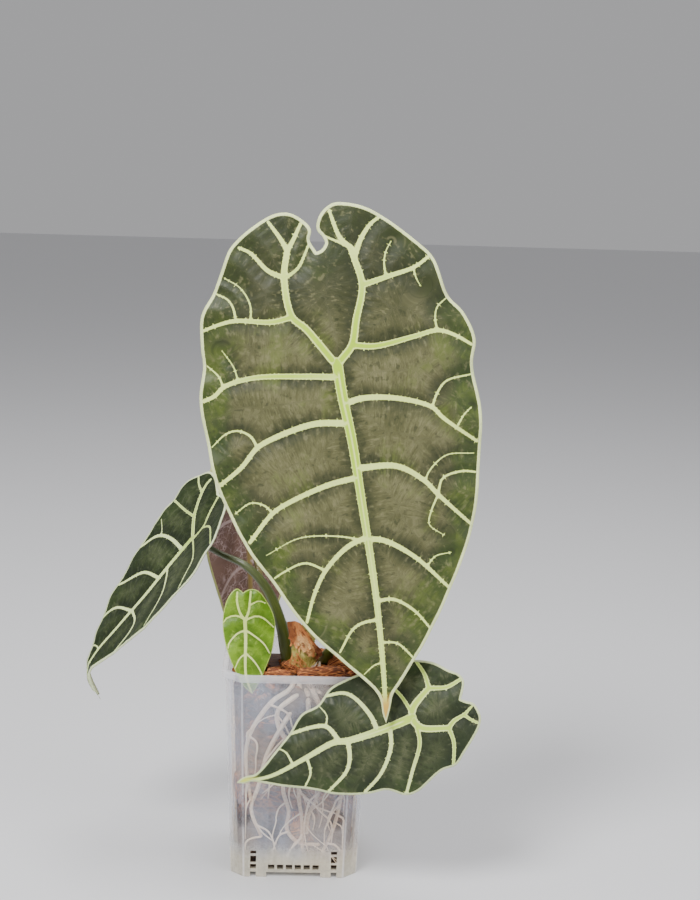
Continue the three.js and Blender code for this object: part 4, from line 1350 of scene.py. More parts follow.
@dataclass
class Rhizome:
    """The crown's ringed stem and the roots that leave it, down the walls and into the mix."""

    pot: PotForm = PotForm()
    axis: PlanPoint = (1.5, -3.0)
    profile: tuple[PlanPoint, ...] = (
        (0.3, 58), (4, 59.5), (7, 64), (8.2, 70), (7.6, 74), (8.8, 79), (8.1, 84), (9.2, 89), (8.6, 94),
        (7, 99), (4, 101.5), (0.3, 102.5),
    )
    root_radii: Span = (1.35, 0.8)
    inset: float = 0.6
    shoulder: float = 1.6
    front: tuple[tuple[PlanPoint, ...], ...] = (
        ((-4, 92), (-11.4, 87), (-18, 78), (-22, 70), (-23.5, 60), (-22.5, 48), (-20.5, 36)),
        ((0, 90), (-9, 82), (-8, 73), (-2, 64), (1, 50), (2, 37), (3.5, 28), (4, 12)),
        ((5, 88), (4, 72), (-4, 56), (-5.7, 43), (-2.8, 32), (-3.5, 23), (2, 16.5), (12, 15.5)),
        ((8, 90), (13, 76), (14, 58), (10, 39), (6.3, 29), (6, 21)),
        ((12, 88), (20, 76), (22, 52), (21, 36), (17.5, 21), (13, 10.5)),
        ((-3, 81), (-13, 62), (-17.5, 44), (-20.5, 33), (-15.5, 19)),
    )
    shoot: tuple[Point, ...] = ((9.2, -9.4, 90), (10.2, -11.6, 100.4))
    side_roots: tuple[tuple[float, float, float, float], ...] = ((-9, 9, 0.4, 14), (10, 7, 2.1, 24))
    side_top: float = 88.0
    side_stride: float = 12.0
    fine_roots: int = 84
    fine_radii: Span = (0.28, 0.6)
    fine_joints: tuple[int, int] = (3, 7)
    fine_strides: Span = (3, 6.5)
    fine_reach: float = 23.0
    fine_bottom: float = 6.5

    def wall_route(self, places: Sequence[PlanPoint], side: int, radius: float, inset: float) -> Array:
        """Leads a root from the rhizome to a wall and along places on it.

        Args:
            places: how far across the wall and how high each place is.
            side: which wall, counted round from the front.
            radius: the root's radius at its start.
            inset: the room between the root and the wall.

        Returns:
            The route's knots.
        """
        turn = np.array(rotation(side * 90, "Z"))
        knots = []
        for i, (across, z) in enumerate(places):
            set_in = self.shoulder if i == 0 and radius > 1 else 0
            depth = self.pot.half(z) - self.pot.wall - radius - inset - set_in
            knots.append(turn @ np.array((across, -depth, z)))
        x0, y0 = self.axis
        first = knots[0]
        start = np.array((x0, y0, 80.0)) * 0.88 + first * 0.12
        arch = np.array((x0, y0, first[2] + 1)) * 0.45 + first * 0.55
        return np.array([start, arch, *knots])

    def main_routes(self) -> list[Route]:
        """Leads the thick roots down the front wall and then the others.

        Returns:
            For each root its knots and its radius at either end.
        """
        courses = [(0, places) for places in self.front]
        for side in range(1, 4):
            for start, sway, phase, bottom in self.side_roots:
                heights = np.arange(self.side_top, bottom - 0.01, -self.side_stride)
                courses.append((side, [(start + sway * math.sin(z / 14 + phase + side), z) for z in heights]))
        radii = self.root_radii
        return [(self.wall_route(places, side, radii[0], self.inset), radii) for side, places in courses]

    def fine_routes(self, mains: list[Array]) -> list[Route]:
        """Lets fine roots branch off the thick ones and wander along their wall.

        Args:
            mains: the thick roots' knots.

        Returns:
            For each fine root its knots and its radius at either end.
        """
        draw = np.random.default_rng(41)
        routes = []
        for index in range(self.fine_roots):
            side = 0 if index % 2 else 1 + index // 2 % 3
            own = mains[: len(self.front)] if side == 0 else mains[len(self.front) + (side - 1) * 2 :][:2]
            knots = own[int(draw.integers(len(own)))][3:]
            back = np.array(rotation(-side * 90, "Z"))
            at = draw.uniform(0, len(knots) - 1.01)
            spot = back @ (knots[int(at)] + (knots[int(at) + 1] - knots[int(at)]) * (at % 1))
            places = [(float(spot[0]), float(spot[2]))]
            heading = draw.choice((-1, 1)) * draw.uniform(0.5, 1.5)
            for _ in range(int(draw.integers(*self.fine_joints))):
                heading = 0.75 * heading + draw.uniform(-0.45, 0.45)
                stride = draw.uniform(*self.fine_strides)
                across, z = places[-1]
                across = np.clip(across + math.sin(heading) * stride, -self.fine_reach, self.fine_reach)
                places.append((float(across), max(self.fine_bottom, z - math.cos(heading) * stride)))
            thick = draw.uniform(*self.fine_radii)
            routes.append((self.wall_route(places, side, thick, 0.12)[2:], (thick, thick * 0.45)))
        return routes

    def build(self, site: Site) -> Piece:
        """Makes the rhizome with every root as one piece.

        Args:
            site: where the pot's axis stands.

        Returns:
            The piece.
        """
        builder = PieceBuilder()
        line = np.array([(*self.axis, z) for z in np.linspace(58.1, 102.4, 90)])
        heights = [z for _, z in self.profile]
        radii = np.interp(line[:, 2], heights, [r for r, _ in self.profile])

        def scars(angle: float, length: float) -> float:
            """Rings the stem with old leaf scars."""
            ring = math.sin(length * 1.35 + math.sin(angle) * 0.8)
            return 0.05 * ring + 0.03 * math.sin(3 * angle + length * 0.3)

        builder.add(*tube(line, radii, 40, scars))
        shoot = smooth_course(self.shoot, 0.8)
        builder.add(*tube(shoot, np.linspace(2.0, 0.5, len(shoot)), 16))
        routes = self.main_routes()
        routes.extend(self.fine_routes([knots for knots, _ in routes]))
        for knots, ends in routes:
            path = smooth_course(knots, 1.6)
            share = np.linspace(0, 1, len(path))
            thick = ends[0] + (ends[1] - ends[0]) * share
            sway = np.array([noise.noise(Vector(p) * 0.2) for p in path])
            builder.add(*tube(path, thick * (1 + 0.12 * sway), 9 if ends[0] < 1 else 12))
        return builder.build(site, "rhizome_roots", RootFinish().material())


@dataclass(frozen=True)
class SheathFinish:
    """Living tissue, cream green over a swollen base, under dry paper, cream to rust brown with a painted
    highlight near its middle.
    """

    name: str = "dry_paper"
    cream: Colour = tint(250, 206, 138)
    rust: Colour = tint(200, 108, 40)
    dark: Colour = tint(110, 50, 16)
    live: Colour = tint(146, 134, 40)
    fresh: Colour = tint(226, 212, 126)

    def material(self) -> Material:
        """Builds the tissue from its own coordinates; the third tells paper from living tissue.

        Returns:
            The material.
        """
        graph = Graph(self.name)
        across, up, layer = graph.stored("grain")
        ribs = graph.noise((across * 2.2, up * 0.14, layer), 1.0, 4.0, 0.65)
        cloud = graph.noise((across * 0.35, up * 0.3, layer), 0.9, 4.0, 0.6)
        curls = graph.noise((across * 0.8, up * 0.8, layer), 1.1, 4.0, 0.7)
        # painted highlight: the paper pales to cream round a spot near its middle, where its ribs and curls
        # show most
        aside, over = across - 8.5, up - 13
        centre_highlight = (aside * aside * 0.06 + over * over * 0.03).step(1.9, 0.2)
        pale_ribs_and_highlight = (ribs * 0.5 + curls * 0.7).step(0.4, 0.7) * (centre_highlight * 0.75 + 0.25)
        # darker towards the lower right and the upper left, and in random clouds
        dark_zones = across.step(11, 15) * up.step(17, 9) + across.step(7, 3) * up.step(13, 17) * 0.7
        dark_zones = (dark_zones + cloud.step(0.48, 0.36)) & 0.85
        paper = dark_zones.between(pale_ribs_and_highlight.between(self.rust, self.cream), self.dark)
        live = (ribs * 0.5 + cloud * 0.6).step(0.4, 0.7).between(self.live, self.fresh)
        colour = layer.step(1.6, 1.4).between(live, paper)
        normal = graph.bump(ribs * 0.6 + curls * 0.5, 0.0005, 0.6)
        rough = layer.step(1.4, 1.6) * -0.2 + 0.72
        return graph.surface(colour, rough, normal)


class Tissue(Enum):
    """What a layer of the sheath is, as its mesh stores it."""

    PAPER = 0.0
    INNER_PAPER = 1.0
    LIVING = 2.0


@dataclass(frozen=True)
class Layer:
    """A layer: what it is, how far out it stands, and its lowest and highest share of the rise."""

    tissue: Tissue
    stand: float
    low: float
    high: float


@dataclass
class Sheath:
    """The swollen foot of the front stalk, wrapped in a torn papery sheath with loose strands."""

    rows: tuple[tuple[Point, ...], ...] = (
        ((-6.3, -11.2, 97), (-2.6, -13.4, 96.5), (1.5, -14.2, 96),
         (5.4, -13.7, 97.5), (8.4, -12.6, 101.6)),
        ((-3.6, -11.4, 102), (-1.2, -13.2, 101.6), (2, -14.2, 101.2),
         (6.2, -13.7, 101.5), (10.4, -11.4, 102.2)),
        ((-3.6, -10.8, 107.5), (-1.4, -12.9, 107), (2.4, -15.2, 106.4),
         (7, -14.6, 106.2), (11.2, -11.8, 105.6)),
        ((-4.6, -10.4, 113), (-2.4, -12.8, 113.4), (1.4, -15.4, 113),
         (5.4, -15.4, 111.8), (8.4, -14, 109.6)),
        ((-5.8, -10, 119.4), (-3.9, -11.6, 120), (-1.6, -13.4, 120.6),
         (1.2, -15.2, 118.8), (3.6, -15.8, 115.4)),
    )
    across: int = 70
    up: int = 80
    layers: tuple[Layer, ...] = (
        Layer(Tissue.LIVING, 0.05, 0.0, 1.0),
        Layer(Tissue.INNER_PAPER, 0.35, 0.30, 1.0),
        Layer(Tissue.PAPER, 0.6, 0.46, 0.93),
    )
    thick: float = 0.16
    strands: int = 22
    lowest: float = 99.0

    @cached_property
    def grid(self) -> tuple[Array, Array]:
        """Draws the sheath's smooth course as columns of points, with the normals that face out.

        Returns:
            The points and their normals, column by column.
        """
        courses = [smooth_course(row, 0.1) for row in self.rows]
        columns = []
        for i in range(self.across + 1):
            knots = [course[round(i / self.across * (len(course) - 1))] for course in courses]
            column = smooth_course(knots, 0.1)
            columns.append([column[round(j / self.up * (len(column) - 1))] for j in range(self.up + 1)])
        grid = np.array(columns)
        for _ in range(2):
            grid[1:-1] = (grid[:-2] + 2 * grid[1:-1] + grid[2:]) / 4
            grid[:, 1:-1] = (grid[:, :-2] + 2 * grid[:, 1:-1] + grid[:, 2:]) / 4
        normals = np.cross(np.gradient(grid, axis=0), np.gradient(grid, axis=1))
        normals /= np.linalg.norm(normals, axis=2)[..., None]
        return grid, normals

    def _layer(self, builder: PieceBuilder, layer: Layer) -> None:
        """Adds one thin layer, torn at its lower edge unless it is the living one.

        Args:
            builder: what it is added to.
            layer: the layer.
        """
        mark, low, living = layer.tissue.value, layer.low, layer.tissue is Tissue.LIVING
        grid, normals = self.grid
        front = np.zeros_like(grid)
        marks = np.zeros_like(grid)
        for i in range(self.across + 1):
            u = i / self.across
            torn = 0.16 * noise.noise(Vector((u * 5, mark * 3, 0.4)))
            torn += 0.07 * noise.noise(Vector((u * 17, mark, 2.0)))
            start = max(0.0, low + 0.34 * (0.62 - u) + torn) if low else 0.0
            end = min(1.0, layer.high + torn * 0.5)
            for j in range(self.up + 1):
                v = start + (end - start) * j / self.up
                place = v * self.up
                k = min(int(place), self.up - 1)
                spot = grid[i, k] + (grid[i, k + 1] - grid[i, k]) * (place - k)
                facing = normals[i, k]
                crease = 0.5 * noise.noise(Vector((u * 6 + mark * 4, v * 4, mark)))
                crease += 0.07 * noise.noise(Vector((u * 30, v * 6, mark)))
                curl = 0.9 * math.exp(-j / 5) if low else 0.0
                bulge = 0.5 * math.sin(math.pi * min(1, v * 2.4)) * math.sin(math.pi * u) if living else 0.0
                front[i, j] = spot + facing * (layer.stand + crease + curl + bulge - 0.5)
                marks[i, j] = (u * 17, v * 25, mark)
        back = front - normals * self.thick
        wide = self.up + 1
        count = front.shape[0] * wide
        index = np.arange(count).reshape(-1, wide)
        faces = []
        cells = (index[:-1, :-1], index[1:, :-1], index[1:, 1:], index[:-1, 1:])
        for a, b, c, d in zip(*(cell.flat for cell in cells)):
            faces.extend([(a, b, c, d), (d + count, c + count, b + count, a + count)])
        rim = [*index[:-1, 0], *index[-1, :-1], *index[:0:-1, -1], *index[0, :0:-1]]
        faces.extend(edge_band(zip(rim, rim[1:] + rim[:1]), count))
        points = np.vstack([front.reshape(-1, 3), back.reshape(-1, 3)])
        rear = marks.reshape(-1, 3) * (1, 1, 0) + (0, 0, 1)
        builder.add(points, faces, np.vstack([marks.reshape(-1, 3), rear]))

    def _strands(self, builder: PieceBuilder) -> None:
        """Adds loose fibres that fray from the sheath's lower left edge.

        Args:
            builder: what it is added to.
        """
        draw = np.random.default_rng(17)
        grid, normals = self.grid
        for _ in range(self.strands):
            i, j = int(draw.integers(2, 26)), int(draw.integers(14, 34))
            spot = grid[i, j] + normals[i, j] * 0.9
            reach = draw.uniform(6, 13)
            drop = np.array((draw.uniform(-0.7, 1.3), draw.uniform(-0.9, -0.25), -1.0))
            end = spot + drop / np.linalg.norm(drop) * reach
            end[2] = max(end[2], self.lowest)
            middle = (spot + end) / 2 + np.array((draw.uniform(-1.2, 1.2), -0.8, 0.9))
            route = smooth_course([spot, middle, end], 0.7)
            points, faces, grain = tube(route, np.linspace(0.17, 0.08, len(route)), 5)
            grain[:, 2] = 1.0
            builder.add(points, faces, grain)

    def build(self, site: Site) -> Piece:
        """Makes the layers and strands as one piece.

        Args:
            site: where the pot's axis stands.

        Returns:
            The piece.
        """
        builder = PieceBuilder()
        for layer in self.layers:
            self._layer(builder, layer)
        self._strands(builder)
        return builder.build(site, "papery_sheath", SheathFinish().material())


@dataclass(frozen=True)
class PotFinish:
    """Clear plastic gone milky, thicker looking at its lip, with painted highlights down its corners and damp
    smears inside.
    """

    site: Site
    name: str = "milky_plastic"
    haze: Colour = tint(222, 226, 240)
    blush: Colour = tint(240, 226, 216)
    cream: Colour = tint(236, 226, 196)
    # the next colour is the painted highlight down the corners, and also whitens the lip
    edge: Colour = tint(246, 244, 246)
    thin: float = 0.08
    thick: float = 0.34
    lip: float = 0.38
    stains: tuple[Point, ...] = ((-25.0, 30.5, 4.5), (19.5, 29.0, 4.0), (-22.0, 39.0, 3.0))

    def material(self) -> Material:
        """Builds the plastic from the place in the pot's own frame, in millimetres.

        Returns:
            The material.
        """
        graph = Graph(self.name)
        place = (graph.place() - tuple(self.site.axis.tolist())) * (1 / MM)
        x, y, z = graph.split(place)
        smears = graph.noise((x, y, z * 0.3), 0.07, 4.0, 0.62)
        mist = graph.noise(place, 0.5, 3.0, 0.7)
        warm = graph.noise(place, 0.035, 2.0)
        runs = graph.noise((x * 0.55, y * 0.55, z * 0.02), 1.0, 2.0, 0.6)
        # painted highlight: lighter, more opaque lines down the chamfered corners
        off_edge = abs((abs(x) & abs(y)) - (z * 0.025 + 23.5))
        corner = (off_edge + (mist - 0.5) * 0.5).step(0.8, 0.1) * 0.6
        lip = z.step(96.4, 97.4)
        foot = (z + (smears - 0.5) * 14.0).step(19.0, 6.0)
        stain = self._stains(x, z, mist)
        amount = (smears * 0.75 + mist * 0.3 + (runs - 0.5) * 0.3).step(0.25, 0.85)
        alpha = amount * (self.thick - self.thin) + self.thin
        alpha = (alpha + foot * 0.3 + corner * 0.3 + z.step(60, 92) * 0.04) * (1 - stain * 0.6)
        alpha = alpha | lip * self.lip
        colour = (warm.step(0.45, 0.62) * 0.8).between(self.haze, self.blush)
        colour = (foot * 0.8).between(colour, self.cream)
        # the corners take the painted highlight; the lip is whitened with the same colour
        colour = (corner | lip * 0.6).between(colour, self.edge)
        normal = graph.bump(smears * 0.7 + mist * 0.3, 0.0003, 0.3)
        rough = mist * 0.15 + 0.2
        return graph.surface(colour, rough, normal, Alpha=alpha, IOR=1.49)

    def _stains(self, x: Term, z: Term, mist: Term) -> Term:
        """Masks the damp spots where the dark mix touches the front wall.

        Args:
            x: the place across.
            z: the height.
            mist: a fine random value.

        Returns:
            The mask.
        """
        mask = None
        for across, height, radius in self.stains:
            spot = (x - across) * (x - across) + (z - height) * (z - height) * 0.6
            soft = (spot + (mist - 0.5) * 30.0).step(radius**2 * 1.6, radius**2 * 0.3)
            mask = soft if mask is None else mask | soft
        return mask


@dataclass
class Pot:
    """The clear square nursery pot, with its moulded edges softened."""

    bevel: float = 0.28
    flat_angle: float = 0.5
    bevel_angle: float = 20.0
    smooth_angle: float = 40.0
    weld: float = 2e-6

    def build(self, site: Site, node: Piece) -> Piece:
        """Makes a copy of the solid pot with rounded edges.

        Args:
            site: where the pot's axis stands.
            node: the solid pot.

        Returns:
            The piece.
        """
        mesh = node.data.copy()
        mesh.materials.clear()
        bm = bmesh.new()
        bm.from_mesh(mesh)
        bmesh.ops.remove_doubles(bm, verts=bm.verts, dist=self.weld)
        flat, bent = math.radians(self.flat_angle), math.radians(self.bevel_angle)
        bmesh.ops.dissolve_limit(bm, angle_limit=flat, verts=bm.verts, edges=bm.edges)
        sharp = [edge for edge in bm.edges if len(edge.link_faces) == 2 and edge.calc_face_angle(0) > bent]
        form = {"segments": 2, "profile": 0.5, "affect": "EDGES", "clamp_overlap": True}
        bmesh.ops.bevel(bm, geom=sharp, offset=self.bevel * MM, **form)
        bm.to_mesh(mesh)
        bm.free()
        piece = make_object("pot_shell", mesh, PotFinish(site).material())
        mesh.set_sharp_from_angle(angle=math.radians(self.smooth_angle))
        return piece


def course(*numbers: float) -> tuple[PlanPoint, ...]:
    """Pairs up a row of numbers as points of a blade's plane, across and along."""
    return tuple(zip(numbers[::2], numbers[1::2]))


def veins(*rows: tuple[float, ...]) -> tuple[Vein, ...]:
    """Makes veins of rows, each of which gives the width at either end and then the course."""
    return tuple(Vein(course(*row[2:]), row[0], row[1]) for row in rows)


DARK_LEAF = LeafFinish(
    name="dark_leaf", deep=tint(40, 46, 22), middle=tint(84, 84, 52), painted_sheen=tint(126, 123, 88),
    flush=tint(92, 106, 36), shade=tint(44, 62, 18), vein=tint(228, 242, 144), core=tint(170, 208, 0),
    rim=tint(222, 232, 166), tip=tint(208, 166, 70), under=tint(92, 70, 84), under_vein=tint(168, 146, 138),
    under_rim=tint(190, 194, 150),
)
FRONT = Blade(
    name="front", junction=(13.7, -42, 247), tip=(39.8, -59, 87), faces=(-0.023, -0.995, 0.102),
    finish=DARK_LEAF, spacing=1.0, arch=6.0, half_width=60.0, tip_drop=5.0, tip_reach=165.0, lobe_drop=6.0,
    lobe_reach=70.0, wave=1.3, wave_length=34.0, quilt=1.3, quilt_reach=5.0,
    plus_margin=course(
        2.4, -49.8, 4.7, -55.4, 3.5, -59.7, 5.6, -63.6, 11.7, -68.3, 18.3, -69, 26.3, -66.1, 39.7, -57.2,
        44.9, -48.5, 50.4, -38.1, 57, -28.5, 59.1, -14.7, 59.5, -6, 63, 8.2, 62.7, 25.9, 60.6, 48.4,
        51.1, 77.3, 41.5, 94.9, 29.6, 116.6, 10.4, 139.4, 3.4, 147.8, 1.2, 153, 0.9, 159.8, 0, 164.2,
    ),
    minus_margin=course(
        2.4, -49.8, 0.4, -50.4, -1.9, -53.2, -1.2, -56, 0.9, -59.4, 0.4, -63, -2.5, -67.4, -7.2, -70.2,
        -12.2, -70, -23.7, -65.5, -43.5, -47.4, -48.6, -40.8, -53, -23.2, -58.9, -14.8, -62.5, -2.2, -60, 8,
        -61, 29.6, -57.7, 51.3, -50.8, 79.9, -41.3, 99.5, -25.6, 125.1, -8.7, 146.7, -4.9, 151.3,
        -2.7, 157.5, 0, 164.2,
    ),
    veins=veins(
        (4.8, 1.7, 0, 0, -0.3, 14, -1.9, 34.7, -2.5, 60, -3.2, 104.3, -2, 139.7, 0, 164.2),
        (3.5, 2.6, 2, -1.6, 7.1, -9.9, 11.9, -17.2, 17, -22.8, 18.1, -40.8, 15.2, -52),
        (2.2, 1.3, 15.2, -52, 17.2, -57.2, 21.9, -65.9),
        (2.2, 1.3, 15.2, -52, 11.4, -57.2, 9.1, -61, 6.9, -64.2),
        (2.2, 1.3, 19, -40.9, 24.8, -44.4, 31.6, -53.4, 36.2, -56.3),
        (1.5, 0.9, 16.8, -40.6, 11.4, -43.9, 8.6, -47.9, 5.1, -54.1),
        (2.6, 1.3, 17, -22.8, 26.1, -21.8, 42.3, -24.5, 50.1, -23.7, 57.2, -22),
        (1.1, 0.7, 41.9, -24.4, 42.4, -30.3, 44.2, -34.1, 49.1, -37.5),
        (0.9, 0.4, 35.5, -23.1, 34.7, -30.6, 38.1, -38.6, 44.6, -44),
        (3.5, 2.6, -1.9, -1.1, -7.6, -7, -10.9, -17.7, -15.6, -32.6, -13.7, -44.9, -12.6, -50),
        (2.2, 1.3, -12.6, -50, -8.8, -54.5, -6.7, -61.9, -5.6, -67.5),
        (1.3, 0.7, -12.6, -49.5, -8.9, -52.2, -2.3, -56.3, 0, -58.8),
        (2.6, 1.3, -13.8, -45.3, -18, -53.3, -23.3, -59.3, -27.2, -61.5),
        (2.6, 1.3, -15.6, -32.6, -27.6, -35, -39.6, -37.5, -47.4, -41.8),
        (1.0, 0.4, -26.6, -34.7, -26.6, -41.4, -28.3, -46.5, -31, -50.2),
        (0.9, 0.4, -39.1, -37.1, -39.8, -32.5, -41.1, -29.2),
        (3, 1.3, -7.6, -7, -17.7, -5.2, -35.9, -7.2, -46.4, -8.4, -53.7, -5.2, -60.4, -0.2),
        (1.0, 0.5, -46, -8.5, -45.9, -14.3, -47.4, -18.6, -52.4, -22.4),
        (2.8, 1.7, 0, 6.3, 14.8, 4, 37.9, 1.6, 51.5, 3.9, 55.9, 7.3, 61.1, 8.9),
        (1.0, 0.5, 51.7, 3.8, 52.9, -0.8, 57.6, -6.4),
        (0.8, 0.3, 44.7, 2.5, 45.7, -3.9, 49.9, -12.1),
        (3, 1.7, -0.4, 26.9, 13.8, 25.4, 33.2, 29.6, 40.4, 32.7, 48.4, 40.3, 59.1, 47.2),
        (1.3, 0.5, 40.4, 32.3, 42.4, 27.5, 47.8, 24.1, 53.4, 24.8, 60.5, 29.8),
        (2.6, 1.7, -2.4, 51.5, 11.3, 53.2, 31, 59.3, 37.9, 62.9, 49.5, 74.3),
        (1.0, 0.5, 37.8, 62.5, 40.5, 59, 46.6, 56.9, 54.4, 60.9),
        (2.4, 1.3, -2.4, 78.6, 6.7, 82, 17.4, 91, 24.2, 101.6, 29.1, 113.4),
        (0.8, 0.3, 0.4, 79.2, 11.3, 76.3, 27.4, 75.2, 42.9, 81),
        (1.1, 0.8, 17.8, 91, 26.3, 86.7, 36.2, 89.6, 40.6, 91.8),
        (1.5, 0.9, -3.2, 116.3, 4.6, 117, 9, 119.2, 16.2, 128.9),
        (0.8, 0.4, -2.1, 136, 1.8, 136.9, 6.8, 140.4),
        (2.8, 1.3, -0.6, 18.4, -8.9, 16.9, -24.3, 19, -39.3, 25.1, -43.3, 30.2, -57.4, 43.1),
        (1.1, 0.7, -39.3, 25.1, -42.3, 19.3, -47, 14.5, -58.6, 13),
        (0.9, 0.5, -49.9, 34.3, -53.1, 30.3, -56.7, 27.6),
        (3, 1.3, -2.5, 47.4, -20.3, 49, -31.8, 57.4, -36.4, 63.6, -49.9, 79.7),
        (0.8, 0.4, -31.8, 57.4, -34.2, 53.3, -42.7, 47.3, -55.3, 48.2),
        (1.1, 0.9, -36.9, 63.6, -39.8, 57.3, -48.9, 55.4, -54.7, 56.6),
        (1.0, 0.3, -36.3, 64.9, -32.7, 71.2, -31.1, 76.9, -37.1, 82.8),
        (2.6, 1.3, -2.2, 79.5, -9.7, 81, -22.5, 90.2, -35.9, 106),
        (0.8, 0.4, -27.7, 95.5, -31.9, 91.6, -39.2, 90.9),
        (1.7, 0.9, -2.9, 108, -10.6, 108.1, -19.3, 114.5, -25.8, 124.2),
        (1.1, 0.8, -3.1, 126.9, -9.8, 128.3, -16.8, 136.8),
    ),
)
RIGHT = Blade(
    name="right", junction=(52.3, -50, 86.8), tip=(-25.7, -42, 51.7), faces=(-0.214, -0.941, 0.261),
    spacing=0.8, wave=1.1, wave_length=19.0, quilt=0.9, quilt_reach=3.6,
    finish=replace(
        DARK_LEAF, name="low_leaf", deep=tint(30, 38, 20), middle=tint(58, 66, 38), painted_sheen=tint(96, 98, 72),
        flush=tint(82, 100, 46), shade=tint(34, 46, 22), vein=tint(222, 236, 158), core=tint(182, 212, 70),
        rim=tint(198, 208, 158), tip=tint(196, 204, 84), under=tint(88, 68, 80), flush_share=0.2,
        shade_reach=12.0, core_reach=26.0, tip_from=76.0, rim_width=0.95, spine=0.9, streak=0.6,
    ),
    plus_margin=course(
        0.2, -23.6, 2.8, -25.5, 7.3, -27.6, 11, -26.6, 14.3, -23, 20.2, -17.4, 25, -7, 26.9, 7.3,
        26.6, 24.4, 25.4, 32, 20.3, 39.6, 19, 48.1, 12.2, 57.3, 7.7, 65, 2.9, 73.1, 0.8, 78.6, 1.3, 82.6,
        1.1, 85.6, 0, 88.2,
    ),
    minus_margin=course(
        0.2, -23.6, -1.4, -25.3, -3.4, -28, -6.6, -29.1, -10.7, -29, -14.8, -26.5, -23.3, -16, -26.8, -10.6,
        -26.9, -4, -32, 9.9, -31.8, 15.2, -26.7, 22.5, -25.3, 31.8, -19.7, 47.5, -15.5, 53.9, -8.5, 68.3,
        -3.6, 77.4, -1.8, 81, -1.5, 84.6, 0, 88.2,
    ),
    veins=veins(
        (3.9, 1.1, 0, 0, -0.5, 13.7, 0.4, 32.2, 1.8, 37.7, -0.5, 54.1, -2.5, 71.6, 0, 86.5),
        (3.5, 2.6, 2.4, -0.7, 4.6, -2.5, 7.3, -6.9, 9.8, -11.7),
        (2.2, 1.3, 9.8, -11.7, 16.5, -12, 23.4, -10.2),
        (2.2, 1.5, 9.8, -11.7, 8.6, -15.1, 7.4, -19.5, 8.6, -26.7),
        (3.5, 2.6, -0.7, 0, -3.3, -0.5, -6.1, -2.8, -10.1, -13.9),
        (2.4, 0.9, -10.1, -13.9, -7.9, -17.1, -6.8, -22.4, -4.5, -27.1),
        (1.5, 1.1, -6.8, -22.4, -9.6, -24.2, -12.5, -26.9),
        (2, 1.3, -10.1, -13.9, -16.7, -13.7, -26.3, -9.7),
        (1.7, 1.1, 3, -0.4, 10.3, 1.3, 20.1, 5.7, 26.5, 7.5),
        (2.2, 1.3, 0.7, 17.2, 7.2, 17.8, 17.9, 22.4, 21.3, 26.2, 22.9, 34.7),
        (2.2, 1.3, 1, 35.5, 7, 37.3, 10, 39.2, 11.7, 45.1, 12.4, 56.5),
        (0.9, 0.4, 10, 39.2, 14.2, 37.2, 19.6, 39.1),
        (1.1, 0.7, -0.9, 59.8, 5.3, 61.1, 7.6, 63.3),
        (2, 1.3, -3.3, -0.5, -11.9, 0.9, -22.5, 8.8, -30.5, 14.7),
        (2, 1.3, -0.5, 11.2, -9.1, 14, -18.5, 22.4, -24, 32.8),
        (2.2, 1.1, 0.2, 31.8, -6.9, 33.5, -12.3, 37.1, -18, 48.3),
        (1.3, 0.7, -0.1, 52.5, -7.5, 53.3, -12.6, 58.2),
    ),
)
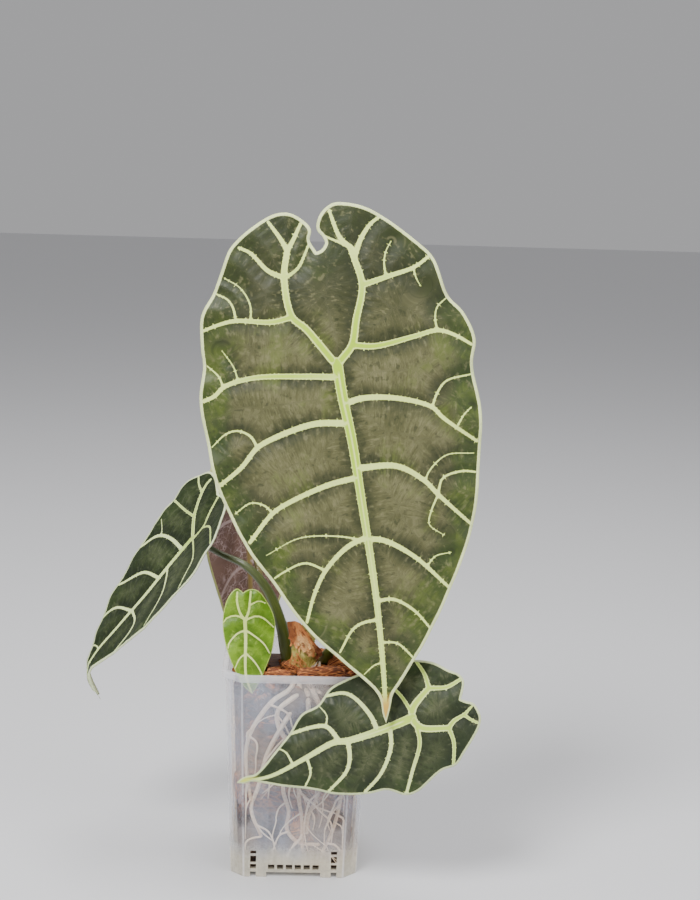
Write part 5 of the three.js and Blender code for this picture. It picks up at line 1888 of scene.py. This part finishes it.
LEFT = Blade(
    name="left", junction=(-51.5, 8, 154.9), tip=(-100.1, 2, 87.1), faces=(-0.731, -0.392, 0.559),
    spacing=0.85, arch=0.0, tip_reach=84.0, lobe_drop=2.0, fold=0.105, wave=0.5, wave_length=22.0,
    quilt=0.5, tail_from=80.0, tail_drop=0.085, pleat=0.1, swell=2.2, swell_from=84.0,
    finish=replace(
        DARK_LEAF, name="folded_leaf", deep=tint(22, 30, 14), middle=tint(44, 54, 26),
        painted_sheen=tint(84, 90, 62), flush=tint(60, 78, 32), shade=tint(28, 40, 16), vein=tint(220, 234, 166),
        core=tint(176, 204, 80), rim=tint(206, 216, 172), tip=tint(120, 126, 84), under=tint(84, 64, 78),
        under_vein=tint(164, 142, 134), under_rim=tint(184, 190, 150), flush_share=0.25, shade_reach=12.0,
        core_reach=20.0, tip_from=84.0, rim_width=1.1, spine=0.8, streak=0.6, roughness=0.36,
    ),
    plus_margin=course(
        7.3, -23.5, 13, -26.4, 20, -28.2, 26, -27.8, 31.5, -22, 34.6, -13, 35, -3, 34, 8, 33.8, 18,
        31.2, 31, 29.4, 44, 26.6, 54, 22.6, 64, 17, 73, 13.4, 80, 11, 85.5, 10.2, 88, 10, 91, 9.2, 93.8,
    ),
    minus_margin=course(
        7.3, -23.5, 0.7, -24.4, -7.3, -22.5, -16, -15, -22.2, -7, -26, 2, -27.1, 12, -25.4, 22, -22.4, 32,
        -19.6, 42, -15, 51, -8, 61.5, -1.8, 71, 3.8, 79.5, 6.9, 85, 7.8, 88, 8, 91, 9.2, 93.8,
    ),
    veins=veins(
        (2.6, 1.1, 0, 0, 2.2, 19, 3.5, 35, 7.2, 57.9, 9.8, 73.6, 9.2, 90),
        (2.2, 1.5, 1.7, -1, 10.7, -7.7, 15.2, -13.5, 20.2, -22.3, 20.6, -25.4),
        (1.1, 0.9, 18.2, -18.2, 24.8, -19.8, 30.2, -22.4),
        (1.3, 1.1, 10.2, -7.4, 19.6, -6.1, 35.4, -5.2),
        (1.4, 1.1, -1.4, -0.6, -1.8, -7.5, 1.4, -12.8, 5.6, -22.6),
        (1.1, 0.7, -1.6, -6.8, -7.5, -9.9, -16.9, -7.2, -21.4, -5.5),
        (2, 1.3, 2.4, 7.9, 13.3, 8.4, 22.5, 10.9, 28.6, 15.5, 32, 23.5),
        (0.7, 0.4, 23.2, 11.3, 26.2, 8.6, 31.1, 5.7),
        (1.7, 1.3, 3.4, 26, 15.2, 29.5, 20.8, 34.5, 27.8, 44),
        (1.5, 1.1, 5.6, 47.1, 17.2, 52, 21.9, 57.7, 23.4, 62.9),
        (0.9, 0.5, 10, 72.5, 13, 72.5, 15.9, 74.2),
        (1.1, 0.6, -0.8, 0.6, -5.6, 1.8, -15.8, 6.4, -19.1, 13.2, -23.6, 20),
        (1.3, 0.7, 2.3, 19.3, -4.8, 23.7, -10.2, 28.4, -16.2, 45.1),
        (1.5, 0.9, 4.9, 46.7, -3.8, 49.2, -5.6, 54, -4, 66.9),
    ),
)
BACK = Blade(
    name="back", junction=(-27.2, 47, 162.4), tip=(-23.3, 41.2, 67.5), faces=(-0.339, 0.938, -0.071),
    half_width=25.0, tip_drop=3.0, tip_reach=85.0, lobe_reach=35.0, wave=0.8, wave_length=24.0, quilt=0.8,
    finish=replace(
        DARK_LEAF, name="purple_leaf", deep=tint(54, 40, 50), middle=tint(82, 88, 56),
        painted_sheen=tint(116, 116, 84), flush=tint(100, 120, 50), shade=tint(52, 66, 30),
        vein=tint(214, 222, 170), core=tint(180, 200, 96), rim=tint(206, 214, 170), tip=tint(176, 170, 108),
        under=tint(142, 112, 98), under_vein=tint(214, 190, 186), under_rim=tint(196, 198, 130),
        core_reach=25.0, tip_from=90.0, rim_width=1.0, roughness=0.5, coat=0.02,
    ),
    plus_margin=course(
        0.5, -20, 3, -26, 8, -31, 14, -31, 19, -25.5, 22.5, -16, 24, -4, 24, 10, 22.6, 22, 19.8, 35, 16, 48,
        11.4, 61, 6.4, 74, 2.2, 86, 0, 95,
    ),
    minus_margin=course(
        0.5, -20, -2, -26, -7, -30.5, -13, -30, -18.5, -22, -22, -10, -23.4, 4, -22.8, 18, -20.4, 30,
        -16.8, 43, -13.4, 54, -8, 69, -3.4, 83, 0, 95,
    ),
    veins=veins(
        (2.6, 1.0, 0, 0, 0.4, 24, 0.4, 55, 0, 92),
        (1.9, 1.1, 0.8, -1, 5, -10, 9, -19, 9.6, -29),
        (1.3, 0.9, 6.6, -13, 13, -15, 21.8, -12),
        (1.9, 1.1, -0.8, -1, -5, -10, -8.4, -19, -8.8, -28.6),
        (1.3, 0.9, -6.2, -13, -12.6, -15, -20.8, -10),
        (1.6, 1.0, 0.4, 6, 9, 5, 18, 10, 22.6, 19),
        (1.6, 1.0, 0.4, 6, -8.6, 6, -17.6, 11, -21.6, 21),
        (1.5, 0.9, 0.4, 27, 8, 29, 15, 38, 17, 43),
        (1.5, 0.9, 0.4, 29, -7.4, 32, -13.4, 40, -15.4, 45),
        (1.2, 0.8, 0.4, 48, 6.4, 52, 10.8, 61),
        (1.2, 0.8, 0.4, 50, -5.6, 54, -9.6, 63),
    ),
)
SMALL = Blade(
    name="small", junction=(-25.4, -19, 122.3), tip=(-21.2, -28.5, 89.5), faces=(0.023, -0.96, 0.28),
    thickness=0.7, spacing=0.42, arch=1.2, half_width=12.0, tip_drop=1.5, tip_reach=35.0, lobe_drop=1.0,
    lobe_reach=15.0, wave=0.3, wave_length=12.0, quilt=0.5, quilt_reach=2.0, pleat=0.05,
    finish=replace(
        DARK_LEAF, name="young_leaf", deep=tint(70, 104, 14), middle=tint(114, 150, 34),
        painted_sheen=tint(160, 188, 78), flush=tint(132, 168, 40), shade=tint(86, 126, 18),
        vein=tint(222, 234, 150), core=tint(204, 222, 110), rim=tint(176, 200, 84), tip=tint(196, 206, 120),
        under=tint(128, 142, 78), under_vein=tint(190, 198, 140), under_rim=tint(196, 204, 130),
        under_rib=tint(190, 198, 140), shade_reach=4.0, shade_share=0.5, core_reach=10.0, tip_from=60.0,
        rim_width=0.3, spine=0.25, streak=0.6, roughness=0.36,
    ),
    plus_margin=course(
        -0.3, -12.8, 0.8, -14.1, 2.3, -15, 4.8, -13.6, 7.5, -10.1, 9.6, -4.7, 10.6, 1.3, 10.4, 8.3, 9, 16.1,
        7, 22.4, 4.2, 29.4, 0, 34.5,
    ),
    minus_margin=course(
        -0.3, -12.8, -2.3, -13.8, -5.4, -14, -8.2, -12.3, -10.7, -8.3, -13, -2.9, -13.9, 2.3, -13.1, 8.3,
        -11.2, 15.6, -8.2, 21.8, -4.3, 28.9, 0, 34.5,
    ),
    veins=veins(
        (1.7, 0.9, 0, 0, 0.6, 9.7, 1.3, 15.5, 2, 25.9, 0, 34.5),
        (1.1, 0.8, 0.2, -0.5, 1.8, -3, 2.9, -9.2, 2.3, -13.3),
        (1.1, 0.8, -0.3, -0.4, -2, -3.5, -3.4, -10, -4, -13),
        (0.7, 0.5, -3, -6.7, -7.4, -8.2, -10.1, -7),
        (0.9, 0.6, 0.4, -0.5, 3.5, -2.4, 8.3, -1.8, 10, -0.1),
        (0.9, 0.6, -0.5, 0, -5.3, -1.3, -8.5, -0.1, -13, 4.6),
        (0.9, 0.6, 0.5, 4.9, 3.8, 5.7, 8.4, 9.9, 9.1, 12.1),
        (0.9, 0.6, 0.2, 4.7, -3.1, 7.3, -7.8, 12, -9.9, 16.4),
        (0.8, 0.5, 1.3, 15.7, 4, 17.3, 6.7, 21.7),
        (0.9, 0.6, 1.2, 15.3, -2, 18.9, -5.1, 24.8, -5.4, 27.1),
    ),
)
OLIVE = StalkFinish("olive_stalk", tint(78, 90, 20), tint(58, 68, 28), tint(108, 120, 52))
BROWNISH = StalkFinish("brown_stalk", tint(108, 98, 44), tint(112, 100, 54), tint(140, 126, 78))
SWOLLEN = StalkFinish("pale_stalk", tint(208, 200, 112), tint(104, 112, 56), tint(190, 194, 120))
STALKS = (
    Stalk(
        "stalk_front", FRONT, SWOLLEN,
        ((3, -8, 93), (3.2, -8.5, 101), (4.6, -10.4, 113), (7, -13, 130), (11, -21, 170), (14.2, -31, 215),
         (14.2, -37, 238)),
        (2.6, 3.9, 3.4, 3.1, 2.8, 2.5, 2.3, 2.2),
    ),
    Stalk(
        "stalk_left", LEFT, OLIVE,
        ((-4.4, -5.4, 92), (-5.4, -5, 100.6), (-8.8, -3, 117), (-15.7, 1, 132.3), (-26, 5, 142.4),
         (-39.2, 9.4, 147.4)),
        (2.6, 3.1, 2.6, 2.3, 1.9, 1.4, 1.2),
    ),
    Stalk(
        "stalk_back", BACK, BROWNISH,
        ((1, 3, 93), (-1, 7, 101), (-10, 16, 115), (-18, 25, 127), (-21.5, 32, 139), (-25.5, 41, 157)),
        (2.4, 2.3, 2, 1.8, 1.6, 1.5, 1.4),
    ),
    Stalk(
        "stalk_right", RIGHT, OLIVE,
        ((9.6, -2.6, 92), (12, -6, 99), (15, -11, 105.5), (25, -22, 113.5), (38, -33, 111.5), (48, -42, 99)),
        (2.4, 2.5, 2.3, 2.1, 1.9, 1.8, 1.7),
    ),
    Stalk(
        "stalk_small", SMALL, OLIVE,
        ((-20, -6, 78), (-22, -7, 92), (-24, -9.5, 107), (-25.2, -14, 118.5)),
        (1.2, 1.4, 1.2, 1, 0.9),
    ),
)


@dataclass(frozen=True)
class Plant:
    """All the leaves: their blades and stalks."""

    blades: tuple[Blade, ...] = (FRONT, RIGHT, LEFT, BACK, SMALL)
    stalks: tuple[Stalk, ...] = STALKS

    def build(self, site: Site) -> None:
        """Makes every leaf and ties its pieces to their nodes.

        Args:
            site: where the pot's axis stands.
        """
        for blade in self.blades:
            attach(blade.build(site), f"blade_{blade.name}")
        for stalk in self.stalks:
            attach(stalk.build(site), stalk.name)


def attach(piece: Piece, node: str) -> None:
    """Lets a piece stand for a node and ride on the one body.

    Args:
        piece: the piece.
        node: the node that it stands for.
    """
    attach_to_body(piece, BODY)
    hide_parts(node)
    LOG.info("%s stands for %s: %d faces", piece.name, node, len(piece.data.polygons))


@dataclass
class Studio:
    """The photograph's view: its camera, a pale floor and soft light."""

    eye: Point = (-5.56, -789.6, 337.34)
    look: Point = (0.03439, 0.98481, -0.17021)
    roll: float = 1.7
    lens: float = 68.0
    sensor: float = 36.0
    reach: float = 6.0
    target: Point = (0.0, 0.0, 0.15)
    sky: tuple[float, float, float, float] = (0.9, 0.9, 0.92, 1.0)
    sky_strength: float = 0.45

    def camera(self, site: Site) -> None:
        """Places the camera where the photograph was taken from.

        Args:
            site: where the pot's axis stands.
        """
        data = bpy.data.cameras.new("view")
        data.lens = self.lens
        data.sensor_width = self.sensor
        camera = bpy.data.objects.new("view", data)
        forward = Vector(self.look).normalized()
        right = forward.cross(Vector((0, 0, 1))).normalized()
        up = right.cross(forward)
        turn = math.radians(self.roll)
        local_x = right * math.cos(turn) + up * math.sin(turn)
        local_y = up * math.cos(turn) - right * math.sin(turn)
        basis = Matrix((local_x, local_y, -forward)).transposed()
        camera.matrix_world = basis.to_4x4()
        camera.location = Vector(np.array(self.eye) * MM + site.axis)
        bpy.context.scene.collection.objects.link(camera)
        bpy.context.scene.camera = camera

    def floor(self) -> None:
        """Lays a plain pale floor."""
        mesh = bpy.data.meshes.new("floor")
        corners = [(x * self.reach, y * self.reach, 0) for x, y in ((-1, -1), (1, -1), (1, 1), (-1, 1))]
        mesh.from_pydata(corners, [], [(0, 1, 2, 3)])
        material = Graph("floor").surface(tint(214, 214, 216), 0.4)
        make_object("floor", mesh, material)

    def lights(self) -> None:
        """Hangs large soft lights and fills the room with pale light."""
        lights = (
            ("key", (-0.5, -0.8, 1.2), 0.55, 26.0),
            ("fill", (0.9, -0.7, 0.6), 0.8, 7.0),
            ("top", (0.1, 0.2, 1.4), 0.7, 12.0),
        )
        for name, spot, size, power in lights:
            data = bpy.data.lights.new(name, "AREA")
            data.shape = "DISK"
            data.size = size
            data.energy = power
            lamp = bpy.data.objects.new(name, data)
            lamp.location = spot
            lamp.rotation_euler = (Vector(self.target) - lamp.location).to_track_quat("-Z", "Y").to_euler()
            bpy.context.scene.collection.objects.link(lamp)
        world = bpy.data.worlds.new("room")
        world.use_nodes = True
        sky = world.node_tree.nodes["Background"]
        sky.inputs["Color"].default_value = self.sky
        sky.inputs["Strength"].default_value = self.sky_strength
        bpy.context.scene.world = world


def main() -> None:
    """Builds the plant, its pot and the studio."""
    logging.basicConfig(level=logging.INFO, format="%(message)s")
    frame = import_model()
    low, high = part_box("pot")
    site = Site(np.array([(low.x + high.x) / 2, (low.y + high.y) / 2, 0.0]))
    studio = Studio()
    studio.camera(site)
    studio.floor()
    studio.lights()
    Plant().build(site)
    attach(PottingMix().build(site), "potting_mix")
    attach(Rhizome().build(site), "rhizome_and_roots")
    attach(Sheath().build(site), "dry_sheath")
    attach(Pot().build(site, frame["nodes"]["pot"]), "pot")


if __name__ == "__main__":
    main()
